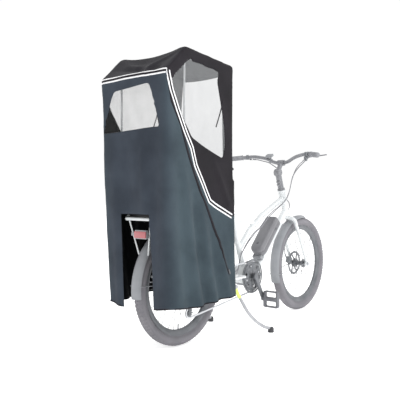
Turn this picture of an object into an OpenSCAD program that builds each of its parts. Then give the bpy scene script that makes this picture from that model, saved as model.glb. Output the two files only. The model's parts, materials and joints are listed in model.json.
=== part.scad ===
// Compact longtail cargo bicycle with a fabric passenger canopy.
// Millimetres. +X forwards, +Y to the rider's left, +Z up, ground at Z = 0.

/* [Wheels] */
// Distance between the wheel axles
wheelbase = 1213; // [1010:1:1460]
// Outer radius of the tyres
tyre_r = 310; // [258:1:372]
// Width of the tyres
tyre_w = 60; // [50:1:64]
// Height of the tyre's section above the bead seat
tyre_h = 57; // [48:1:62]
// Depth of the rim's visible wall
rim_depth = 24; // [20:1:29]
// Spokes in each wheel
spoke_n = 32; // [24:4:36]
// Radius of both axles
axle_r = 6; // [5:0.5:7.5]
// Radius of the brake rotors
rotor_r = 80; // [70:1:96]

/* [Frame] */
// Head tube angle from the ground
head_angle = 70; // [68:0.5:72]
// Distance of the front axle ahead of the steering axis
fork_offset = 45; // [38:1:54]
// Length of the head tube
head_len = 178; // [150:1:214]
// Seat tube angle from the ground
seat_angle = 70; // [68:0.5:73]
// Length of the seat tube from the crank axis
seat_len = 400; // [350:1:480]
// Distance of the crank axis ahead of the rear axle
bb_x = 578; // [520:1:640]
// Drop of the crank axis below the axles
bb_drop = 14; // [0:1:40]
// Radius of the down tube
down_r = 22; // [18:1:26]
// Radius of the top tube
top_r = 17; // [14:1:19]
// Radius of the stays
stay_r = 9; // [7:0.5:10]
// Radius of the seat post
post_r = 13.6; // [12.5:0.1:15.4]

/* [Steering] */
// Radius of the steerer
steer_r = 14.3; // [12.5:0.1:15]
// Height of the stem above the head tube
stem_h = 128; // [106:1:154]
// Half the width of the handlebar
bar_half = 335; // [300:1:360]
// Radius of the handlebar
bar_r = 11.1; // [10:0.1:12]

/* [Drive] */
// Length of the cranks
crank_len = 160; // [140:1:170]
// Teeth on the chainring
ring_teeth = 44; // [40:4:48]
// Teeth on the cog in use
cog_teeth = 16; // [14:1:18]
// Distance of the chain from the bike's middle plane
chain_off = 48; // [46:0.5:50]
// Radius of the chain guard
guard_r = 100; // [98:1:112]
// Radius of the motor housing
motor_r = 62; // [52:1:70]

/* [Battery] */
// Length of the battery
batt_len = 286; // [255:1:330]
// Width of the battery
batt_w = 90; // [75:1:100]
// Thickness of the battery
batt_t = 66; // [58:1:72]

/* [Saddle] */
// Length of the saddle
saddle_len = 246; // [230:1:280]
// Width of the saddle
saddle_w = 170; // [142:1:204]

/* [Rack] */
// Half the distance between the rack rails
rack_half = 85; // [78:1:95]
// Radius of the rack rails
rail_r = 9; // [7:0.5:10]
// Thickness of the passenger pad
pad_h = 45; // [30:1:60]

/* [Kickstand] */
// Half the distance between the kickstand's feet
stand_half = 217; // [190:1:220]
// Radius of the kickstand's tubes
leg_r = 9; // [7:0.5:10]

/* [Canopy] */
// Half the width of the canopy, to the outside of the side panels
canopy_half = 230; // [229:1:270]
// Thickness of the canopy fabric
fabric_t = 2; // [1:0.5:3]
// Height of the hem above the ground
hem_z = 235; // [196:1:280]
// Height of the ridge above the ground
ridge_z = 1466; // [1420:1:1560]
// Distance of the rear edge of the roof behind the rear axle
canopy_back = 334; // [325:1:380]
// Distance of the front panel ahead of the rear axle
canopy_front = 178; // [165:1:200]
// Half the width of the notch over the rear wheel
notch_half = 96; // [80:1:110]
// Height of the notch's top edge
notch_z = 681; // [672:1:700]

/* [Hidden] */
$fn = 48;

// Clearances: running fits, gaps between moving bodies, and the trim's thickness
run = 0.05;
gap = 0.5;
trim_t = 0.6;
// Mid-plane of the whole bicycle along X
mid_x = (wheelbase + tyre_r - canopy_back - trim_t) / 2;

// Wheels
bead_r = tyre_r - tyre_h;
rim_in = bead_r - rim_depth;
tyre_mid = tyre_r - tyre_h / 2 + 0.5;
bead_y = 13.7;
hub_half_f = 49.5;
hub_half_r = 70.5;
flange_r = 24;
flange_t = 7;
flange_f = [-32, 26];
flange_b = [-20, 30];
rotor_t = 1.8;
rotor_yf = 38;
rotor_yr = 46;
rotor_band = 14;

// Steering axis frame: origin on the axis at axle height, local Z up the axis
axis_x = wheelbase - fork_offset / sin(head_angle);
axle_s = -fork_offset / tan(head_angle);
fender_r = tyre_r + 12;
fender_t = 3;
crown_s = tyre_r + 38;
crown_h = 20;
head_top = crown_s + head_len;
head_r = 23;
cup_h = 14;
stem_r = 19;
stem_top = head_top + stem_h;
clamp_s = stem_top + 36;
clamp_x = 59;
blade_y = 60;
blade_s = crown_s - 36;
drop_y = 50;
drop_t = 8;

// Crank axis, seat tube, tubes
bb_z = tyre_r - bb_drop;
seat_d = [-cos(seat_angle), 0, sin(seat_angle)];
bb = [bb_x, 0, bb_z];
cradle_t = 7;
cradle_half = 36;
seat_r = post_r + 2.9;
bore_low = 100;
down_a = on_axis(crown_s + 37);
down_b = [bb_x + motor_r + 12, 0, bb_z - 28];
down_d = (down_a - down_b) / norm(down_a - down_b);
down_n = [-down_d[2], 0, down_d[0]];
top_a = on_axis(head_top - 56);
top_b = [top_a[0] - 246, 0, top_a[2] - 106];
top_c = [bb_x + 44, 0, bb_z + 262];
top_d = bb + seat_d * 170;
elbow = 0.4;

// Rear end
stay_y = hub_half_r + gap + drop_t / 2;
yoke_y = 33;
bridge_x = max(bb_x - 186, tyre_r + 82);
bridge_y = yoke_y + 8;
cross_r = 8;
rack_z = 2 * tyre_r + 37;
rail_front = bb_x - (rack_z - bb_z) / tan(seat_angle) - seat_r / sin(seat_angle) - cross_r + 1.2;
rail_back = canopy_back - 44;
board_z = tyre_r + 20;
board_y = [105, 205];
board_x = [-20, 320];
board_t = 9;
deck_t = 12;
deck_x = [-268, 300];
deck_z = rack_z + rail_r;
// Tail light: its middle, and the brackets that carry it and the fender
light_y = -20;
light_z = rack_z - 73;
bracket_y = [72, 31];

// Kickstand, folded about an axis across the bike
stand_x = max(bb_x - 218, tyre_r + 50);
stand_z = bb_z - 34;
lug_y = 30;
pin_r = 6;
leg_root = 95;
foot_x = 167;
foot_r = 17;
foot_h = 30;

// Drive: circles that the chain wraps, as [x, z, radius, sense]
pitch = 12.7;
ring_pr = pitch / 2 / sin(180 / ring_teeth);
cog_pr = pitch / 2 / sin(180 / cog_teeth);
jockey_teeth = 12;
jockey_pr = pitch / 2 / sin(180 / jockey_teeth);
jockey_u = [32, tyre_r - 72];
jockey_l = [20, tyre_r - 145];
wraps = [[bb_x, bb_z, ring_pr, 1], [0, tyre_r, cog_pr, 1],
    [jockey_u[0], jockey_u[1], jockey_pr, -1], [jockey_l[0], jockey_l[1], jockey_pr, 1]];
tooth_up = 3.4;
tooth_down = 4;
link_h = 4;
link_in = 1.35;
link_out = 2.6;
roller_r = 3.9;
roller_step = 4 * pitch;
cogs = [32, 28, 24, 20, cog_teeth, 14, 12, 11];
cog_step = 5;
cog_t = 1.8;
core_r = 16;
cage_in = 4.2;
cage_t = 1.5;
cage_r = 12;
spindle_r = 12;
arm_y = 72;
arm_t = 12;
crank_a = -60.3;
pedal_l = [96, 98, 24];
pedal_pin = 7;
pedal_gap = 3;

// Seat
post_low = 200;
post_high = 628;
collar_h = 26;
collar_r = seat_r + 6;
saddle_x = -10;
saddle_z = 30;

// Battery frame: origin in the middle of its lower end, on the dock's face
batt_gap = down_r + 12;
batt_s = 136;

// Canopy outline: [x, z] from the hem at the back, over the roof, to the hem in front
panel_y = canopy_half - fabric_t;
back_low = canopy_back - 24;
roof_z = ridge_z - 126;
ridge_x = -205;
front_z = ridge_z - 34;
outline = [[-back_low, hem_z], [-canopy_back, roof_z], [ridge_x, ridge_z],
    [canopy_front, front_z], [canopy_front, hem_z]];
win_rear = [[-172, 1088], [212, 1078], [136, 1256], [116, 1282], [-100, 1288], [-120, 1276]];
win_side = [[-178, 1400], [30, 1384], [52, 1240], [84, 1120], [92, 1021], [76, 962],
    [-60, 1006], [-156, 1042], [-206, 1107], [-286, 1218], [-304, 1292], [-234, 1349]];
win_front = [[-155, 900], [155, 900], [132, 1398], [-146, 1398]];
zip_top = [-60, 745];
zip_end = [125, 373];
stripe = [[-322, 1316], [-258, 1160], [-206, 1070], [-156, 996], [-127, 908], [-67, 820],
    [-21, 743], [34, 713], [146, 665]];
pole_r = 5;
pole_y = 213;
pole_path = [[-200, 94, rack_z], [-202, 170, rack_z + 15], [-203, 208, rack_z + 73], [-203, pole_y, 1000],
    [-204, pole_y, 1300], [-203, pole_y, 1430], [-190, pole_y, 1450], [-100, pole_y, 1446],
    [60, pole_y, 1432], [140, pole_y, 1424], [156, pole_y, 1404], [157, pole_y, 1200],
    [158, pole_y, 900], [158, 208, rack_z + 73], [156, 170, rack_z + 15], [154, 94, rack_z]];

// Handlebar, grips and controls, given for the left side and mirrored
bar_path = [[59, 0, 0], [57, 45, 2], [46, 110, 33], [24, 185, 46], [0, 240, 42],
    [-80, bar_half, 29]];
grip_r = 16;
grip_len = 112;
perch_t = 0.1;
lever_pin = 3;
hose_r = 2.5;
cable_r = 2;
hose_path = [[974, -213, 1009], [988, -190, 1000], [986, -165, 978], [968, -138, 944], [960, -115, 912],
    [972, -90, 880], [988, -70, 840], [994, -55, 795], [980, -44, 752], [950, -38, 722],
    [905, -34, 694], [855, -31, 668], [800, -30, 640], [755, -30, 610], [712, -32, 580],
    [660, -31, 555], [610, -29, 520], [560, -28, 480], [500, -29, 420], [470, -32, 350],
    [430, -20, 328], [400, 20, 324], [380, 58, 322], [300, 66, 322], [200, 72, 324],
    [120, 74, 330], [80, 72, 342], [60, 60, 350]];
shift_path = [[954, -194, 1001], [964, -172, 984], [967, -142, 962], [972, -112, 928], [981, -88, 884],
    [992, -66, 835], [998, -48, 780], [984, -36, 740], [948, -27, 712], [900, -22, 690],
    [850, -20, 668], [795, -20, 640], [750, -20, 606], [705, -20, 572], [650, -20, 548],
    [600, -20, 512], [550, -20, 466], [500, -21, 400], [478, -26, 345], [450, -36, 322],
    [400, -62, 322], [300, -68, 322], [200, -76, 324], [100, -84, 320], [56, -92, 306],
    [40, -94, 290], [20, -92, 276]];
front_path = [[974, 213, 1009], [990, 185, 1006], [1002, 150, 996], [1006, 110, 985], [1006, 70, 962],
    [1004, 40, 940], [1003, 24, 900], [1008, 14, 850], [1024, 10, 800], [1046, 9, 756], [1100, 8, 712], [1118, 30, 660], [1112, 58, 610],
    [1116, 76, 560], [1136, 80, 500], [1152, 80, 440], [1152, 74, 380], [1148, 60, 346]];

// A point on the steering axis, s above axle height along it
function on_axis(s) = [axis_x - s * cos(head_angle), 0, tyre_r + s * sin(head_angle)];
// Points of an ellipse arc about [c, 0], as [radius, width] pairs
function arc(c, a, b, t0, t1, n) =
    [for (i = [0:n]) let(t = t0 + (t1 - t0) * i / n) [c + a * sin(t), b * cos(t)]];
// A rounded rectangle centred on the origin
function rounded(l, w, r) = [for (q = [0:3]) for (i = [0:4])
    let(a = 90 * q + 22.5 * i, sx = (q == 0 || q == 3) ? 1 : -1, sy = q < 2 ? 1 : -1)
    [sx * (l / 2 - r) + r * cos(a), sy * (w / 2 - r) + r * sin(a)]];
// A ring of n teeth on pitch radius pr
function teeth(n, pr) = [for (i = [0:n - 1]) for (k = [[-0.3, -1], [-0.1, 1], [0.1, 1], [0.3, -1]])
    let(a = 360 * (i + k[0]) / n, r = pr + (k[1] > 0 ? tooth_up : -tooth_down)) [r * cos(a), r * sin(a)]];
function turn(a) = ((a % 360) + 360) % 360;
// Direction of the tangent from wrap p to wrap q, and the chain's points offset h outwards
function heading(p, q) = let(d = [q[0] - p[0], q[1] - p[1]])
    atan2(d[1], d[0]) + asin((p[3] * p[2] - q[3] * q[2]) / norm(d));
function wrap_points(i, h) = let(n = len(wraps), w = wraps[i], a = heading(wraps[(i + n - 1) % n], w),
        b = heading(w, wraps[(i + 1) % n]), s = w[3], d = s > 0 ? turn(b - a) : -turn(a - b),
        m = max(3, ceil(abs(d) / 12)))
    [for (k = [0:m]) let(t = a + d * k / m) [w[0], w[1]] + (s * w[2] + h) * [sin(t), -cos(t)]];
function loop(h) = [for (i = [0:len(wraps) - 1]) each wrap_points(i, h)];
// A tube swept along points, as a closed faceted surface
function unit(v) = v / norm(v);
function along(p, i) = unit(unit(p[min(i + 1, len(p) - 1)] - p[max(i, 0)] + [0, 0, 1e-9])
    + unit(p[i] - p[max(i - 1, 0)] + [0, 0, 1e-9]) * (i > 0 ? 1 : 0));
function side_of(t) = unit(cross(t, abs(t[1]) > 0.8 ? [0, 0, 1] : [0, 1, 0]));
function smooth(p) = [for (i = [0:len(p) - 1]) each (i == len(p) - 1 ? [p[i]] :
    let(a = p[max(i - 1, 0)], b = p[i], c = p[i + 1], d = p[min(i + 2, len(p) - 1)])
    [for (t = [0, 0.5]) 0.5 * (2 * b + (c - a) * t + (2 * a - 5 * b + 4 * c - d) * t * t
        + (3 * b - a - 3 * c + d) * t * t * t)])];
function flip(p) = [for (q = p) [q[0], -q[1], q[2]]];

module tube_along(p, r, n) {
    m = len(p);
    pts = [for (i = [0:m - 1]) let(t = along(p, i), u = side_of(t), v = cross(t, u))
        for (k = [0:n - 1]) p[i] + r * (cos(360 * k / n) * u + sin(360 * k / n) * v)];
    faces = concat([[for (k = [0:n - 1]) n - 1 - k]], [[for (k = [0:n - 1]) (m - 1) * n + k]],
        [for (i = [0:m - 2]) for (k = [0:n - 1]) each [
            [i * n + k, (i + 1) * n + (k + 1) % n, (i + 1) * n + k],
            [i * n + k, i * n + (k + 1) % n, (i + 1) * n + (k + 1) % n]]]);
    polyhedron(points = pts, faces = [for (f = faces) [for (j = [len(f) - 1:-1:0]) f[j]]]);
}
// A straight round bar between two points
module bar(a, b, r, r2 = undef) {
    d = b - a;
    translate(a) rotate([0, acos(d[2] / norm(d)), atan2(d[1], d[0])])
        cylinder(h = norm(d), r1 = r, r2 = is_undef(r2) ? r : r2);
}
// A round boss lying across the bicycle from y = a to y = b
module across(x, z, a, b, r) { translate([x, a, z]) rotate([-90, 0, 0]) cylinder(h = b - a, r = r); }
// A flat outline in the X-Z plane, from y = a to y = b
module plate(a, b) { translate([0, b, 0]) rotate([90, 0, 0]) linear_extrude(b - a) children(); }
// A profile of [radius, width] points revolved about an axle
module revolved(x, z, ang = 360, from = 0) {
    translate([x, 0, z]) rotate([90, 0, 0]) rotate([0, 0, from]) rotate_extrude(angle = ang, $fn = 96)
        children();
}
module bike() { translate([-mid_x, 0, 0]) children(); }
module steered() { translate([axis_x, 0, tyre_r]) rotate([0, head_angle - 90, 0]) children(); }
module seated() { translate(bb) rotate([0, seat_angle - 90, 0]) children(); }
// Frame of the battery: X up the down tube, Z away from it
module docked() {
    translate(down_b + down_d * batt_s + down_n * batt_gap)
        rotate([0, -atan2(down_d[2], down_d[0]), 0]) children();
}
module both() { children(); mirror([0, 1, 0]) children(); }
module elbow_at(p, r) { translate(p) sphere(r = r + elbow); }

// ---- Frame ----
module frame_main() color("whitesmoke") bike() difference() {
    union() {
        steered() {
            translate([0, 0, crown_s]) cylinder(h = head_len, r = head_r);
            for (s = [crown_s, head_top - cup_h]) translate([0, 0, s]) cylinder(h = cup_h, r = head_r + 3);
        }
        bar(down_b, down_a, down_r);
        bar(top_a, top_b, top_r);
        elbow_at(top_b, top_r);
        bar(top_b, top_c, top_r);
        elbow_at(top_c, top_r);
        bar(top_c, top_d, top_r);
        bar(bb + seat_d * (motor_r + 3), bb + seat_d * seat_len, seat_r);
        bar(bb + seat_d * (seat_len - 62), (top_b + top_c) / 2, stay_r + 2);
        revolved(bb_x, bb_z, 256, -41) translate([motor_r + run, -cradle_half])
            square([cradle_t, 2 * cradle_half]);
    }
    steered() {
        translate([0, 0, crown_s - 1]) cylinder(h = head_len + 2, r = steer_r + run);
        translate([0, 0, crown_s + cup_h]) cylinder(h = head_len - 2 * cup_h, r = steer_r + 3);
    }
    seated() translate([0, 0, bore_low]) cylinder(h = seat_len, r = post_r + run);
    across(bb_x, bb_z, -cradle_half - 40, cradle_half + 40, motor_r + run);
}
module frame_rear() color("whitesmoke") bike() difference() {
    union() {
        both() {
            across(0, tyre_r, hub_half_r + gap, hub_half_r + gap + drop_t, 24);
            bar([bb_x - motor_r - 3, yoke_y, bb_z - 4], [34, stay_y, tyre_r - 2], stay_r);
            bar([0, stay_y + 1, tyre_r + 16], [-70, rack_half, rack_z - rail_r - 2], stay_r - 2);
            bar([-rail_back + 6, bracket_y[0], rack_z - 2], [-258, bracket_y[1], tyre_r + 174], 4);
            bar([6, stay_y + 1, tyre_r + 16], [150, rack_half - 1, rack_z - rail_r - 2], stay_r - 2);
            across(stand_x, stand_z, lug_y - 6, lug_y + 6, 14);
            bar([stand_x, lug_y, stand_z + 8], [stand_x, lug_y + 9, bb_z + 1], 5);
            bar([0, stay_y, tyre_r], [36, stay_y, tyre_r - 2], 12);
        }
        bar([bridge_x, -bridge_y, bb_z + 2], [bridge_x, bridge_y, bb_z + 2], 7);
        bar([0, -stay_y, tyre_r - 10], [14, -stay_y, tyre_r - 32], 8);
    }
    across(0, tyre_r, -stay_y - 40, stay_y + 40, axle_r);
    across(stand_x, stand_z, -60, 60, pin_r + run);
    both() across(0, tyre_r, 0, hub_half_r + gap, 30);
    both() across(0, tyre_r, hub_half_r + gap + drop_t, stay_y + 40, 15);
}
module rack() color("whitesmoke") bike() {
    both() {
        bar([-rail_back, rack_half, rack_z], [rail_front, rack_half, rack_z], rail_r);
        for (x = [board_x[0] + 50, board_x[1] - 50])
            bar([x, rack_half + 2, rack_z - 4], [x, board_y[0] + 14, board_z + 2], 7);
        translate([(board_x[0] + board_x[1]) / 2, (board_y[0] + board_y[1]) / 2, board_z])
            linear_extrude(board_t)
            polygon(rounded(board_x[1] - board_x[0], board_y[1] - board_y[0], 24));
    }
    for (x = [-rail_back, 0, 190, rail_front])
        bar([x, -rack_half, rack_z], [x, rack_half, rack_z], cross_r);
}
module rack_deck() color("burlywood") bike()
    translate([(deck_x[0] + deck_x[1]) / 2, 0, deck_z]) linear_extrude(deck_t)
        polygon(rounded(deck_x[1] - deck_x[0], 2 * rack_half + 26, 22));
module deck_pad() color("dimgray") bike()
    translate([(deck_x[0] + deck_x[1]) / 2 + 6, 0, deck_z + deck_t]) linear_extrude(pad_h)
        polygon(rounded(deck_x[1] - deck_x[0] - 40, 2 * rack_half + 30, 30));
module rear_fender() color("gray") bike() {
    fender(0, 15, 171);
    both() bar([6, stay_y - 3, tyre_r + 22], [-fender_r + 10, 33, tyre_r + 28], 2);
}
module fender(x, from, sweep) revolved(x, tyre_r, sweep, from) polygon(concat(
    arc(fender_r - 26, 26 + fender_t, 36, 22, 158, 10), arc(fender_r - 26, 26, 33, 158, 22, 10)));
module tail_light() color("silver") bike() {
    translate([-rail_back - 8, light_y - 37, light_z - 20]) cube([14, 76, 41]);
    translate([-rail_back + 4, -56, light_z - 8]) cube([12, 112, 16]);
}
module tail_lens() color("red") bike()
    translate([-rail_back - 14, light_y, light_z]) rotate([0, 90, 0]) linear_extrude(6)
        polygon(rounded(32, 78, 5));
module motor() color("dimgray") bike() difference() {
    union() {
        across(bb_x, bb_z, -40, 40, motor_r);
        across(bb_x, bb_z, -44, 44, motor_r - 7);
    }
    across(bb_x, bb_z, -60, 60, spindle_r + run);
}
module seat_collar() color("silver") bike() seated() difference() {
    union() {
        translate([0, 0, seat_len + gap]) cylinder(h = collar_h, r = collar_r);
        translate([-collar_r - 13, -9, seat_len + gap + 3]) cube([18, 18, collar_h - 6]);
    }
    translate([0, 0, seat_len]) cylinder(h = collar_h + 2, r = post_r + run);
    translate([-collar_r - 20, -1, seat_len]) cube([collar_r + 8, 2, collar_h + 2]);
}
module rear_axle() color("silver") bike() {
    across(0, tyre_r, -stay_y - 9, stay_y + 16, axle_r);
    across(0, tyre_r, stay_y + drop_t / 2, stay_y + 22, 11);
    across(0, tyre_r, -stay_y - 12, -stay_y - drop_t / 2, 10);
}
module battery_dock() color("dimgray") bike() docked() {
    translate([20, -24, -batt_gap + down_r - 1.5]) cube([batt_len - 40, 48, batt_gap - down_r + 1.5 - gap]);
    difference() {
        translate([-14, -30, -batt_gap + down_r - 1.5]) cube([30, 60, batt_gap - down_r + 20]);
        translate([batt_w / 2, 0, -gap]) cylinder(h = batt_t, r = batt_w / 2 + gap);
    }
}
module battery() color("slategray") bike() docked() {
    translate([batt_w / 2, 0, 0]) cylinder(h = batt_t, r = batt_w / 2);
    linear_extrude(batt_t) polygon([[batt_w / 2, -batt_w / 2], [batt_len - 14, -batt_w / 2],
        [batt_len, 14 - batt_w / 2], [batt_len, batt_w / 2 - 14], [batt_len - 14, batt_w / 2],
        [batt_w / 2, batt_w / 2]]);
}
module caliper(rotor_y, out) difference() {
    translate([rotor_r - 28, rotor_y - 11, -20]) cube([34, 11 + out - rotor_y, 40]);
    translate([rotor_r - 40, rotor_y - rotor_t / 2 - 0.6, -30])
        cube([42, rotor_t + 1.2, 60]);
}
module rear_caliper() color("dimgray") bike() translate([0, 0, tyre_r]) rotate([0, -38, 0])
    caliper(rotor_yr, stay_y - 4);
module derailleur_body() color("dimgray") bike() difference() {
    union() {
        across(14, tyre_r - 32, -stay_y - 26, -stay_y - 8, 11);
        bar([14, -stay_y - 17, tyre_r - 32], [jockey_u[0], -chain_off - 15, jockey_u[1]], 7);
        across(jockey_u[0], jockey_u[1], -chain_off - 24, -chain_off - cage_in - cage_t - gap, 11);
    }
    across(jockey_u[0], jockey_u[1], -chain_off - 20, -chain_off, 4 + run);
}
module derailleur_cage() color("gray") bike() {
    for (s = [-1, 1]) plate(-chain_off + s * (cage_in + cage_t / 2) - cage_t / 2,
        -chain_off + s * (cage_in + cage_t / 2) + cage_t / 2)
        let(d = jockey_l - jockey_u, a = atan2(d[1], d[0])) polygon(concat(
            [for (i = [0:8]) jockey_u + cage_r * [cos(a + 90 + 22.5 * i), sin(a + 90 + 22.5 * i)]],
            [for (i = [0:8]) jockey_l + cage_r * [cos(a - 90 + 22.5 * i), sin(a - 90 + 22.5 * i)]]));
    for (j = [jockey_u, jockey_l]) across(j[0], j[1], -chain_off - cage_in - 1, -chain_off + cage_in + 1, 3);
    across(jockey_u[0], jockey_u[1], -chain_off - 19, -chain_off - cage_in - 1, 4);
}
module jockey(j) color("dimgray") bike() difference() {
    translate([j[0], 0, j[1]]) plate(-chain_off - 1, -chain_off + 1) polygon(teeth(jockey_teeth, jockey_pr));
    across(j[0], j[1], -chain_off - 9, -chain_off + 9, 3 + run);
}
module jockey_upper() jockey(jockey_u);
module jockey_lower() jockey(jockey_l);
module chain() color("gray") bike() {
    for (s = [-1, 1]) plate(-chain_off + s * (link_in + link_out) / 2 - (link_out - link_in) / 2,
        -chain_off + s * (link_in + link_out) / 2 + (link_out - link_in) / 2)
        difference() { polygon(loop(link_h)); polygon(loop(-link_h)); }
    for (run_i = [0, 3]) let(w = wraps[run_i], v = wraps[(run_i + 1) % 4],
        a = wrap_points(run_i, 0), b = wrap_points((run_i + 1) % 4, 0), p = a[len(a) - 1], q = b[0],
        l = norm(q - p)) for (k = [1:floor((l - roller_step) / roller_step)])
        let(c = p + (q - p) * k * roller_step / l)
        across(c[0], c[1], -chain_off - link_in - 0.5, -chain_off + link_in + 0.5, roller_r);
}
module frame_cables() color("dimgray") bike() {
    tube_along(smooth(hose_path), hose_r, 8);
    tube_along(smooth(shift_path), cable_r, 8);
}

// ---- Canopy ----
module canopy_poles() color("silver") bike() both() tube_along(pole_path, pole_r, 10);
// The panel line between two outline points, t thick on its inner side, between y = a and y = b
module sheet(p, q, t, a, b) plate(a, b) let(d = unit(q - p), n = [d[1], -d[0]])
    polygon([p, q, q + n * t, p + n * t]);
module rear_shape() difference() {
    sheet(outline[0], outline[1], fabric_t, -panel_y, panel_y);
    translate([-canopy_back - 20, -notch_half, hem_z - 10]) cube([80, 2 * notch_half, notch_z - hem_z + 10]);
    window_cut();
}
module window_cut() translate([-canopy_back - 40, 0, 0]) rotate([90, 0, 90]) linear_extrude(120)
    polygon([for (p = win_rear) [p[0], p[1]]]);
module canopy_rear() color("darkslategray") bike() rear_shape();
module canopy_top() color("dimgray") bike() {
    sheet(outline[1] + [2, 3], outline[2] - [1, 1], fabric_t, -panel_y + gap, panel_y - gap);
    sheet(outline[2] + [1, 0], outline[3] - [2, 0], fabric_t, -panel_y + gap, panel_y - gap);
    difference() {
        translate([canopy_front - fabric_t, -panel_y + gap, rack_z + 180])
            cube([fabric_t, 2 * panel_y - 2 * gap, front_z - rack_z - 180 - 4]);
        translate([canopy_front - 60, 0, 0]) rotate([90, 0, 90]) linear_extrude(120) polygon(win_front);
    }
}
module canopy_sides() color("darkslategray") bike() both() plate(panel_y, canopy_half)
    difference() { polygon(outline); polygon(win_side); }
module canopy_windows() color("gainsboro") bike() {
    both() plate(panel_y + 0.5, canopy_half - 0.5) polygon(win_side);
    intersection() {
        sheet(outline[0] + [0.5, 0], outline[1] + [0.5, 0], fabric_t - 1, -panel_y, panel_y);
        window_cut();
    }
    translate([canopy_front - fabric_t + 0.5, 0, 0]) rotate([90, 0, 90]) linear_extrude(fabric_t - 1)
        polygon(win_front);
}
module strip(p, w, t) for (i = [0:len(p) - 2]) plate(canopy_half, canopy_half + t)
    let(d = unit(p[i + 1] - p[i]), n = [-d[1], d[0]] * w / 2)
    polygon([p[i] - n, p[i + 1] - n + d * 2, p[i + 1] + n + d * 2, p[i] + n]);
module canopy_trim() color("white") bike() {
    both() strip(stripe, 22, trim_t);
    both() strip([zip_top, zip_end], 8, trim_t);
    both() strip([outline[0] + [2, 6], outline[4] + [-4, 6]], 10, trim_t);
    sheet(outline[1] - [trim_t, 20], outline[1] - [trim_t, 0], trim_t, -panel_y, panel_y);
}
module zip_pull() plate(canopy_half + trim_t + 0.3, canopy_half + trim_t + 3.3)
    translate(zip_end + unit(zip_top - zip_end) * 12) rotate(-64) polygon(rounded(26, 9, 3));
module zip_pull_left() color("black") bike() zip_pull();
module zip_pull_right() color("black") bike() mirror([0, 1, 0]) zip_pull();

// ---- Steering ----
module fork() color("whitesmoke") bike() steered() difference() {
    union() {
        translate([0, 0, crown_s - crown_h]) cylinder(h = crown_h - gap, r = 21);
        translate([0, 0, crown_s - crown_h]) cylinder(h = crown_h + head_len + 70, r = steer_r);
        both() {
            bar([0, 4, crown_s - 18], [0, blade_y, blade_s], 13);
            elbow_at([0, blade_y, blade_s], 13);
            bar([0, blade_y, blade_s], [fork_offset, blade_y, axle_s + 14], 13, 9);
            translate([fork_offset, 0, axle_s]) rotate([-90, 0, 0]) translate([0, 0, drop_y])
                cylinder(h = drop_t + 6, r = 17);
        }
    }
    translate([fork_offset, -90, axle_s]) rotate([-90, 0, 0]) cylinder(h = 180, r = axle_r);
}
module stem() color("silver") bike() steered() difference() {
    union() {
        translate([0, 0, head_top + gap]) cylinder(h = stem_h - gap, r = stem_r);
        translate([0, 0, head_top + gap]) cylinder(h = 8, r = head_r + 1);
        translate([0, 18, stem_top - 10]) rotate([90, 0, 0]) cylinder(h = 36, r = 23);
        bar([0, 0, stem_top - 8], [clamp_x - 8, 0, clamp_s - 4], 15);
        translate([clamp_x, 22, clamp_s]) rotate([90, 0, 0]) cylinder(h = 44, r = bar_r + 8);
        for (s = [head_top + 42, head_top + 62]) translate([-stem_r - 4, 0, s]) rotate([90, 0, 0])
            translate([0, 0, -9]) cylinder(h = 18, r = 4.5);
    }
    translate([clamp_x, 40, clamp_s]) rotate([90, 0, 0]) cylinder(h = 80, r = bar_r);
    translate([0, 0, head_top - 2]) cylinder(h = 75, r = steer_r);
}
module at_bar() steered() translate([0, 0, clamp_s]) rotate([0, 90 - head_angle, 0]) translate([-1, 0, 0]) children();
bar_full = concat([for (i = [len(bar_path) - 1:-1:1]) [bar_path[i][0], -bar_path[i][1], bar_path[i][2]]],
    bar_path);
bar_c = [clamp_x * sin(head_angle), 0, clamp_x * cos(head_angle)];
bar_w = [for (p = bar_full) on_axis(clamp_s) + bar_c + p - [clamp_x, 0, 0]];
grip_a = bar_w[len(bar_w) - 2];
grip_b = bar_w[len(bar_w) - 1];
grip_d = unit(grip_b - grip_a);
ctl_d = unit(grip_a - bar_w[len(bar_w) - 3]);
module handlebar() color("silver") bike() tube_along(bar_w, bar_r, 16);
module grips() color("gray") bike() both() difference() {
    bar(grip_b - grip_d * (grip_len - 4), grip_b + grip_d * 4, grip_r);
    bar(grip_b - grip_d * (grip_len + 2), grip_b, bar_r - 0.3);
}
// Controls are clamped on the straight part next to the bend, s along it from the bend
function ctl(s) = grip_a - ctl_d * s;
module ring_on(s, w, r) difference() {
    bar(ctl(s - w / 2), ctl(s + w / 2), r);
    bar(ctl(s - w), ctl(s + w), bar_r - 0.3);
}
lever_c = ctl(14) + [34, 0, -10];
lever_n = [0.12, 0, 1];
module bar_controls() color("dimgray") bike() {
    both() {
        ring_on(14, 14, bar_r + 5);
        difference() {
            bar(ctl(14) + [14, 0, -3], ctl(14) + [40, -12, -10], 9);
            translate(lever_c - [30, 30, 5]) cube([60, 60, 10]);
        }
        bar(lever_c - [0, 0, 8], lever_c + [0, 0, 8], lever_pin);
    }
    mirror([0, 1, 0]) {
        ring_on(38, 12, bar_r + 4);
        translate(ctl(38) + [0, 0, -23]) sphere(r = 14);
    }
}
module lever() difference() {
    union() {
        translate(lever_c - [0, 0, 4]) cylinder(h = 8, r = 8);
        bar(lever_c, lever_c + [18, 44, 2], 4);
        elbow_at(lever_c + [18, 44, 2], 4);
        bar(lever_c + [18, 44, 2], lever_c + [-6, 108, 4], 4);
    }
    translate(lever_c - [0, 0, 20]) cylinder(h = 40, r = lever_pin + run);
}
module lever_left() color("silver") bike() lever();
module lever_right() color("silver") bike() mirror([0, 1, 0]) lever();
paddle_c = [ctl(38)[0], -ctl(38)[1], ctl(38)[2] - 41.5];
module shift_paddle() color("dimgray") bike() translate(paddle_c) {
    cylinder(h = 4, r = 9);
    translate([-34, -5, 0]) cube([34, 10, 4]);
}
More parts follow.
